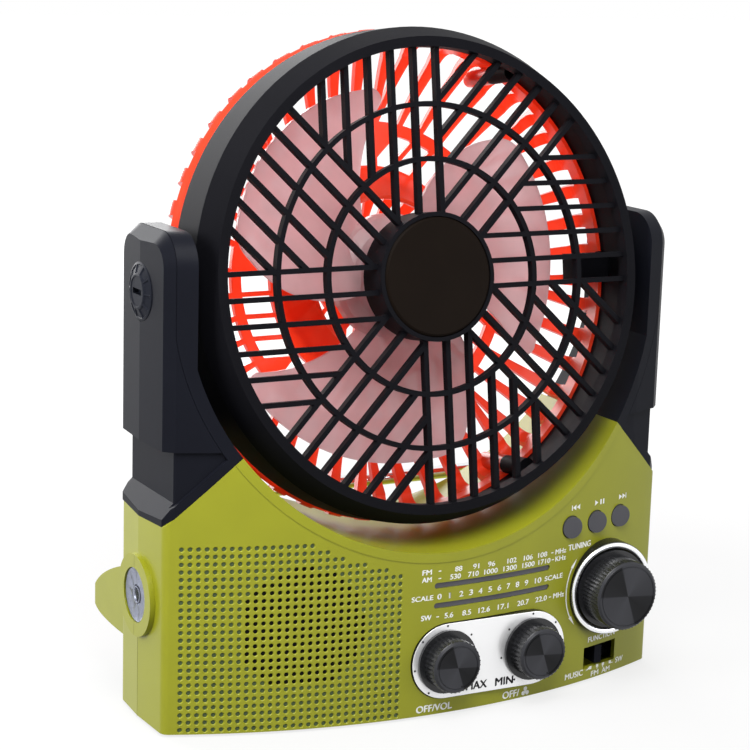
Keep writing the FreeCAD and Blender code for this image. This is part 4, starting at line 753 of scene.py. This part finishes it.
def arc_band(cx, cz, radius, width, start, end, count=28):
    """Quads that make a curved stroke of one width."""
    quads = []
    for k in range(count):
        a0 = math.radians(start + (end - start) * k / count)
        a1 = math.radians(start + (end - start) * (k + 1) / count)
        inner, outer = radius - width / 2, radius + width / 2
        quads.append([(cx + inner * math.cos(a0), cz + inner * math.sin(a0)),
                      (cx + outer * math.cos(a0), cz + outer * math.sin(a0)),
                      (cx + outer * math.cos(a1), cz + outer * math.sin(a1)),
                      (cx + inner * math.cos(a1), cz + inner * math.sin(a1))])
    return quads


def arrow_head(cx, cz, radius, angle, way, length=4.6, half=0.75):
    """Triangle at one end of a curved stroke."""
    a = math.radians(angle)
    tip_angle = a + way * length / radius
    base = [(cx + (radius + h) * math.cos(a), cz + (radius + h) * math.sin(a)) for h in (-half, half)]
    tip = (cx + radius * math.cos(tip_angle), cz + radius * math.sin(tip_angle))
    return [base[0], base[1], tip]


ARROW_RADIUS = 21.7
ARROW_WIDTH = 0.55
ARROW_FROM, ARROW_TO = 151, 209
arrow = arc_band(TUNING_X, TUNING_Z, ARROW_RADIUS, ARROW_WIDTH, ARROW_FROM, ARROW_TO)
arrow.append(arrow_head(TUNING_X, TUNING_Z, ARROW_RADIUS, ARROW_FROM, -1))
arrow.append(arrow_head(TUNING_X, TUNING_Z, ARROW_RADIUS, ARROW_TO, 1))
print_shapes("tuning_arrow", arrow, white_print, on_front)


# Small fan symbol after the word OFF

# About a right angle, in radians
QUARTER_TURN = 1.57
# Shares of the symbol's size: how far out a lobe lies, a lobe's radius, and a stalk's half width
LOBE_REACH, LOBE_RADIUS, STALK_HALF = 0.56, 0.44, 0.26


def fan_symbol(cx, cz, size):
    """Three round lobes on stalks that meet in the middle."""
    shapes = []
    reach, side = size * LOBE_REACH, size * STALK_HALF
    for k in range(3):
        a = math.radians(90 + 120 * k)
        lobe_x, lobe_z = cx + reach * math.cos(a), cz + reach * math.sin(a)
        shapes.append(circle(lobe_x, lobe_z, size * LOBE_RADIUS, 20))
        before, after = a - QUARTER_TURN, a + QUARTER_TURN
        corners = ((cx, cz, before), (lobe_x, lobe_z, before), (lobe_x, lobe_z, after), (cx, cz, after))
        shapes.append([(x + side * math.cos(way), z + side * math.sin(way)) for x, z, way in corners])
    return shapes


print_shapes("fan_symbol", fan_symbol(39.1, 3.0, 2.1), white_print, on_front)


# Painted shade of a small slot in the front, over the dial: a flat dark mark

print_shapes("front_slot_shade", [bar(-3.8, 66.7, 0.65, 0.28)], black_print_and_shade, on_front)


# Bright face of the ring round the tuning knob, and the dark wall behind it down to the bowed front

RING_PROFILE = ((17.25, 0.1), (17.3, -0.35), (17.55, -0.62), (18.0, -0.76), (18.45, -0.8),
                (18.9, -0.74), (19.3, -0.55), (19.5, -0.25), (19.5, 0.1), (17.25, 0.1))
RING_WALL_OUTSET, RING_WALL_INSET = 0.12, 0.5
RING_WALL_START = 0.15
ring = turned_mesh("tuning_ring_face", RING_PROFILE)
ring.transform(Matrix.Translation(point(TUNING_X, TUNING_RING_Y, TUNING_Z)))
add_object("tuning_ring_face", ring, ring_silver, "radio_body")


def ring_wall(outer, inner, sunk=1.0, count=96):
    """Sleeve from the ring back to the bowed front, sunk a little into it."""
    vertices, faces = [], []
    for k in range(count):
        a = 2 * math.pi * k / count
        for radius, at_front in ((inner, True), (outer, True), (outer, False), (inner, False)):
            x = TUNING_X + radius * math.cos(a)
            y = TUNING_RING_Y + RING_WALL_START if at_front else front_y(x) + sunk
            vertices.append(point(x, y, TUNING_Z + radius * math.sin(a)))
    for k in range(count):
        n = (k + 1) % count
        for j in range(4):
            i = (j + 1) % 4
            faces.append([k * 4 + j, n * 4 + j, n * 4 + i, k * 4 + i])
    mesh = mesh_from("tuning_ring_wall", vertices, faces)
    smooth_by_angle(mesh, 40.0)
    return add_object("tuning_ring_wall", mesh, knob_black, "radio_body")


ring_wall(RING_RADIUS + RING_WALL_OUTSET, RING_RADIUS - RING_WALL_INSET)


# Torch: rippled bowl with a hole for the lamp, behind a thin pane

TORCH_FACE_X = -114.2
TORCH_Z = 50.3
TORCH_RADIUS = 10.65
TORCH_HOLE = 2.75
BOWL_PROFILE = ((TORCH_RADIUS, 0.45), (10.3, 0.55), (9.6, 0.9), (7.6, 1.3), (5.4, 1.3), (4.4, 1.05),
                (4.0, 1.0), (3.9, 1.7), (3.5, 1.7), (3.4, 0.6), (2.9, 0.6), (TORCH_HOLE, 0.8),
                (TORCH_HOLE, 3.2), (4.5, 3.2), (TORCH_RADIUS, 2.2), (TORCH_RADIUS, 0.45))
EYE_PROFILE = ((0, 0.95), (0.9, 1.0), (1.8, 1.2), (2.4, 1.6), (TORCH_HOLE - 0.1, 2.4))
PANE_PROFILE = ((0, 0), (10.5, 0), (TORCH_RADIUS, 0.1), (TORCH_RADIUS, 0.35), (0, 0.35))
# Ripples in the bowl: how many, how deep, between which radii, and how far they twist
BOWL_LOBES = 9
LOBE_DEPTH = 0.28
LOBES_FROM, LOBES_TO = 4.3, 9.9
LOBE_TWIST = 3


def onto_left_side(mesh, x, z):
    """Turns a mesh made about +Y to face left, and puts it at a place on the left side."""
    mesh.transform(Matrix.Rotation(-math.pi / 2, 4, "Z"))
    mesh.transform(Matrix.Translation(point(x, 0, z)))


bowl = turned_mesh("torch_bowl", BOWL_PROFILE, 108)
for vertex in bowl.vertices:
    radius = math.hypot(vertex.co.x, vertex.co.z) / MM
    share = (radius - LOBES_FROM) / (LOBES_TO - LOBES_FROM)
    if 0 < share < 1:
        angle = math.atan2(vertex.co.z, vertex.co.x)
        ripple = math.cos(BOWL_LOBES * angle + LOBE_TWIST * share)
        vertex.co.y += LOBE_DEPTH * MM * math.sin(math.pi * share) * ripple
onto_left_side(bowl, TORCH_FACE_X, TORCH_Z)
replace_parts(add_object("torch_bowl", bowl, reflector, "radio_body"), "torch_reflector")
eye = turned_mesh("torch_eye", EYE_PROFILE, 48)
onto_left_side(eye, TORCH_FACE_X, TORCH_Z)
add_object("torch_eye", eye, led_green, "radio_body")
pane = turned_mesh("torch_pane", PANE_PROFILE)
onto_left_side(pane, TORCH_FACE_X, TORCH_Z)
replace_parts(add_object("torch_pane", pane, lens, "radio_body"), "torch_lens")


# Pivot caps: cone of ten shallow pockets round a slotted disc

CAP_POCKETS = 10
# Steps round one pocket and its ridge, and the ridge's share of them
CAP_STEPS = 16
RIDGE_STEPS = 2
CAP_HEIGHT = 1.5
# How far each cap stands over the arm's side
LEFT_CAP_TOP = 1.5
RIGHT_CAP_TOP = 0.35
# Distance from the middle, and share of the cone's height above the rim
CAP_PROFILE = ((11.2, -1.4), (11.2, -0.1), (10.95, 0.0), (10.3, 0.12), (9.9, 0.2), (7.3, 0.78),
               (6.8, 0.88), (6.3, 1.0), (5.9, 0.98), (5.7, 0.8))
# Points of the profile that a pocket sinks, and by how much
POCKET_RINGS = (4, 5)
POCKET_DEPTH = 0.45
# Share of the cone's height by which the disc lies below its top
DISC_DROP = 0.2
SLOT_HALF_LENGTH, SLOT_HALF_WIDTH = 4.2, 1.1
SLOT_DEPTH = 2.4
# The slot's outline is an ellipse this many times longer and wider, cut off at the slot's sides
SLOT_STRETCH, SLOT_SWELL = 1.5, 3.5


def pivot_cap(top, side):
    """Vertices and faces of one cap, whose cone ends at a height over the arm's side."""
    vertices, faces = [], []
    count = CAP_POCKETS * CAP_STEPS
    rows = len(CAP_PROFILE)
    for k in range(count):
        angle = 2 * math.pi * k / count
        on_ridge = k % CAP_STEPS < RIDGE_STEPS
        for ring, (radius, share) in enumerate(CAP_PROFILE):
            height = top - CAP_HEIGHT + share * CAP_HEIGHT
            if ring in POCKET_RINGS and not on_ridge:
                height -= POCKET_DEPTH
            vertices.append(point(side * (HALF_WIDTH + height), radius * math.cos(angle),
                                  TILT_Z + radius * math.sin(angle)))
    for k in range(count):
        n = (k + 1) % count
        for j in range(rows - 1):
            faces.append([k * rows + j, k * rows + j + 1, n * rows + j + 1, n * rows + j])
    faces.extend(slotted_disc(vertices, [k * rows + rows - 1 for k in range(count)], top, side))
    return vertices, faces


def slotted_disc(vertices, rim, top, side):
    """Faces of the middle disc: strips from its rim to the slot, the slot's walls and its floor."""
    faces = []
    disc_height = top - DISC_DROP * CAP_HEIGHT
    floors = []
    for depth in (0.0, SLOT_DEPTH):
        floors.append(len(vertices))
        for index in range(len(rim)):
            angle = 2 * math.pi * index / len(rim)
            across = math.cos(angle) * SLOT_HALF_LENGTH * SLOT_STRETCH
            above = math.sin(angle) * SLOT_HALF_WIDTH * SLOT_SWELL
            across = max(-SLOT_HALF_LENGTH, min(SLOT_HALF_LENGTH, across))
            above = max(-SLOT_HALF_WIDTH, min(SLOT_HALF_WIDTH, above))
            vertices.append(point(side * (HALF_WIDTH + disc_height - depth), across, TILT_Z + above))
    upper, lower = floors
    for k in range(len(rim)):
        n = (k + 1) % len(rim)
        faces.append([rim[k], upper + k, upper + n, rim[n]])
        faces.append([upper + k, lower + k, lower + n, upper + n])
    faces.append([lower + k for k in range(len(rim))])
    return faces


cap_vertices, cap_faces = pivot_cap(LEFT_CAP_TOP, -1)
right_vertices, right_faces = pivot_cap(RIGHT_CAP_TOP, 1)
cap_faces += [[len(cap_vertices) + index for index in face] for face in right_faces]
cap_mesh = closed_mesh("pivot_caps_faced", cap_vertices + right_vertices, cap_faces, 25.0)
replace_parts(add_object("pivot_caps_faced", cap_mesh, cap_dark, "radio_body"), "pivot_caps")


# Painted shade in the small pit of each small knob: a dark disc a little below the knob's face

PIT_ACROSS, PIT_FROM_RIM = 2.0, 2.9
PIT_FLOOR_RADIUS = 0.44
PIT_FLOOR_DEPTH = 0.1
for name, body, knob_x in (("volume_pit_shade", "volume_control", KNOB_XS[0]),
                           ("fan_speed_pit_shade", "fan_speed_control", KNOB_XS[1])):
    outline = circle(knob_x + PIT_ACROSS, KNOB_Z - KNOB_RADIUS + PIT_FROM_RIM, PIT_FLOOR_RADIUS, 16)
    print_shapes(name, [outline], black_print_and_shade,
                 lambda x, z: point(x, PLATE_Y - KNOB_HEIGHT + PIT_FLOOR_DEPTH, z),
                 body=body)


# Seam between the two shells, on the left side and across the torch boss

# Half the width of the drawn line, and how far it stands off the plastic
SEAM_HALF = 0.11
SEAM_LIFT = 0.02
SEAM_MIDDLE_Z, SEAM_HALF_LENGTH = 17.0, 16.6
BOSS_RISE = 1.6
BOSS_SEAM_OFFSET, BOSS_SEAM_HALF_LENGTH = 13.7, 2.4
print_shapes("seam_line", [bar(0, SEAM_MIDDLE_Z, SEAM_HALF, SEAM_HALF_LENGTH)], seam_green,
             lambda y, z: point(-HALF_WIDTH - SEAM_LIFT, y, z))
boss_seams = [bar(0, TORCH_Z + way * BOSS_SEAM_OFFSET, SEAM_HALF, BOSS_SEAM_HALF_LENGTH) for way in (-1, 1)]
print_shapes("boss_seam", boss_seams, seam_green,
             lambda y, z: point(-HALF_WIDTH - BOSS_RISE - SEAM_LIFT, y, z))


# Stage: floor, world, lamps and camera

def seen_directly(tree):
    """1 for what the camera, reflections and clear parts see, 0 for the light on the object."""
    path = tree.nodes.new("ShaderNodeLightPath")
    seen = math_node(tree, "MAXIMUM", path.outputs["Is Camera Ray"], path.outputs["Is Glossy Ray"])
    return math_node(tree, "MAXIMUM", seen, path.outputs["Is Transmission Ray"])


# Strength of the world's light on the object, and the floor's glow out to one distance, white from another
AMBIENT = 0.26
FLOOR_GLOW = 0.78
FLOOR_NEAR, FLOOR_FAR = 0.25, 0.70
FLOOR_SIZE, FLOOR_DROP = 12.0, 0.0003


def studio_world():
    """World that looks white and lights the object softly."""
    world = bpy.data.worlds.new("studio")
    bpy.context.scene.world = world
    world.use_nodes = True
    tree = world.node_tree
    tree.nodes.clear()
    world_out = tree.nodes.new("ShaderNodeOutputWorld")
    background = tree.nodes.new("ShaderNodeBackground")
    background.inputs["Color"].default_value = (1.0, 1.0, 1.0, 1.0)
    strength = math_node(tree, "MULTIPLY_ADD", seen_directly(tree), 1.0 - AMBIENT, AMBIENT)
    tree.links.new(strength, background.inputs["Strength"])
    tree.links.new(background.outputs[0], world_out.inputs["Surface"])


def floor_paint():
    """Floor that looks white far off, a little darker near the object, and keeps its shadow."""
    mat, tree, out = new_material("floor_paint")
    paint = tree.nodes.new("ShaderNodeBsdfDiffuse")
    tex = noise(tree, 3.0, 2.0)
    lit = ramp(tree, tex.outputs["Fac"], [(0.3, (0.13, 0.13, 0.13)), (0.7, (0.14, 0.14, 0.14))])
    tree.links.new(lit.outputs["Color"], paint.inputs["Color"])
    glow = tree.nodes.new("ShaderNodeEmission")
    glow.inputs["Color"].default_value = (1.0, 1.0, 1.0, 1.0)
    coords = tree.nodes.new("ShaderNodeTexCoord")
    length = tree.nodes.new("ShaderNodeVectorMath")
    length.operation = "LENGTH"
    tree.links.new(coords.outputs["Object"], length.inputs[0])
    spread = tree.nodes.new("ShaderNodeMapRange")
    spread.inputs["From Min"].default_value = FLOOR_NEAR
    spread.inputs["From Max"].default_value = FLOOR_FAR
    spread.inputs["To Min"].default_value = FLOOR_GLOW
    spread.inputs["To Max"].default_value = 1.0
    tree.links.new(length.outputs["Value"], spread.inputs["Value"])
    brightness = math_node(tree, "MULTIPLY", seen_directly(tree), spread.outputs["Result"])
    tree.links.new(brightness, glow.inputs["Strength"])
    both = tree.nodes.new("ShaderNodeAddShader")
    tree.links.new(paint.outputs[0], both.inputs[0])
    tree.links.new(glow.outputs[0], both.inputs[1])
    tree.links.new(both.outputs[0], out.inputs["Surface"])
    return mat


studio_world()
floor_material = floor_paint()
bpy.ops.mesh.primitive_plane_add(size=FLOOR_SIZE, location=(0, 0, -FLOOR_DROP))
floor = bpy.context.active_object
floor.name = "floor"
floor.data.materials.append(floor_material)


def lamp(name, location, target, size, power, mirrored=True):
    """Area lamp; one that is not mirrored lights the object but leaves no shine on it."""
    data = bpy.data.lights.new(name, "AREA")
    data.shape = "RECTANGLE"
    data.size, data.size_y = size
    data.energy = power
    obj = bpy.data.objects.new(name, data)
    bpy.context.scene.collection.objects.link(obj)
    obj.location = location
    direction = Vector(target) - Vector(location)
    obj.rotation_euler = direction.to_track_quat("-Z", "Y").to_euler()
    obj.visible_glossy = mirrored


lamp("key_softbox", (-0.13, -0.29, 0.47), (0, 0, 0.08), (0.30, 0.30), 2.6)
lamp("right_softbox", (0.46, -0.62, 0.14), (0, 0, 0.06), (0.40, 0.40), 2.0)
lamp("left_softbox", (-0.88, -0.08, 0.42), (0, 0, 0.13), (0.40, 0.50), 7.0, mirrored=False)
lamp("top_softbox", (0.1, 0.25, 1.1), (0, 0, 0.1), (0.8, 0.8), 4.0, mirrored=False)
lamp("back_softbox", (-0.15, 1.05, 0.50), (0, 0, 0.17), (1.2, 0.8), 18.0)

# Camera fitted to the photograph: turns in radians, focal length in picture widths, place in millimetres
CAMERA_YAW, CAMERA_PITCH, CAMERA_ROLL = 0.4944, 0.2062, 0.0298
SENSOR_WIDTH = 36.0
FOCAL_WIDTHS = 2128.58 / 750
CAMERA_PLACE = (-408.89, -737.35, 305.07)


def camera_turn(yaw, pitch, roll):
    """Rotation of a camera that looks level along +Y when all three turns are 0."""
    forward = Vector((math.sin(yaw) * math.cos(pitch), math.cos(yaw) * math.cos(pitch), -math.sin(pitch)))
    level_right = Vector((math.cos(yaw), -math.sin(yaw), 0.0))
    level_up = level_right.cross(forward)
    right = level_right * math.cos(roll) + level_up * math.sin(roll)
    up = level_up * math.cos(roll) - level_right * math.sin(roll)
    return Matrix((right, up, -forward)).transposed().to_4x4()


camera_data = bpy.data.cameras.new("photo_camera")
camera_data.sensor_width = SENSOR_WIDTH
camera_data.lens = FOCAL_WIDTHS * SENSOR_WIDTH
camera_data.clip_start = 0.01
camera = bpy.data.objects.new("photo_camera", camera_data)
bpy.context.scene.collection.objects.link(camera)
look = camera_turn(CAMERA_YAW, CAMERA_PITCH, CAMERA_ROLL)
camera.matrix_world = Matrix.Translation(point(*CAMERA_PLACE)) @ look
bpy.context.scene.camera = camera

scene = bpy.context.scene
scene.view_settings.view_transform = "Standard"
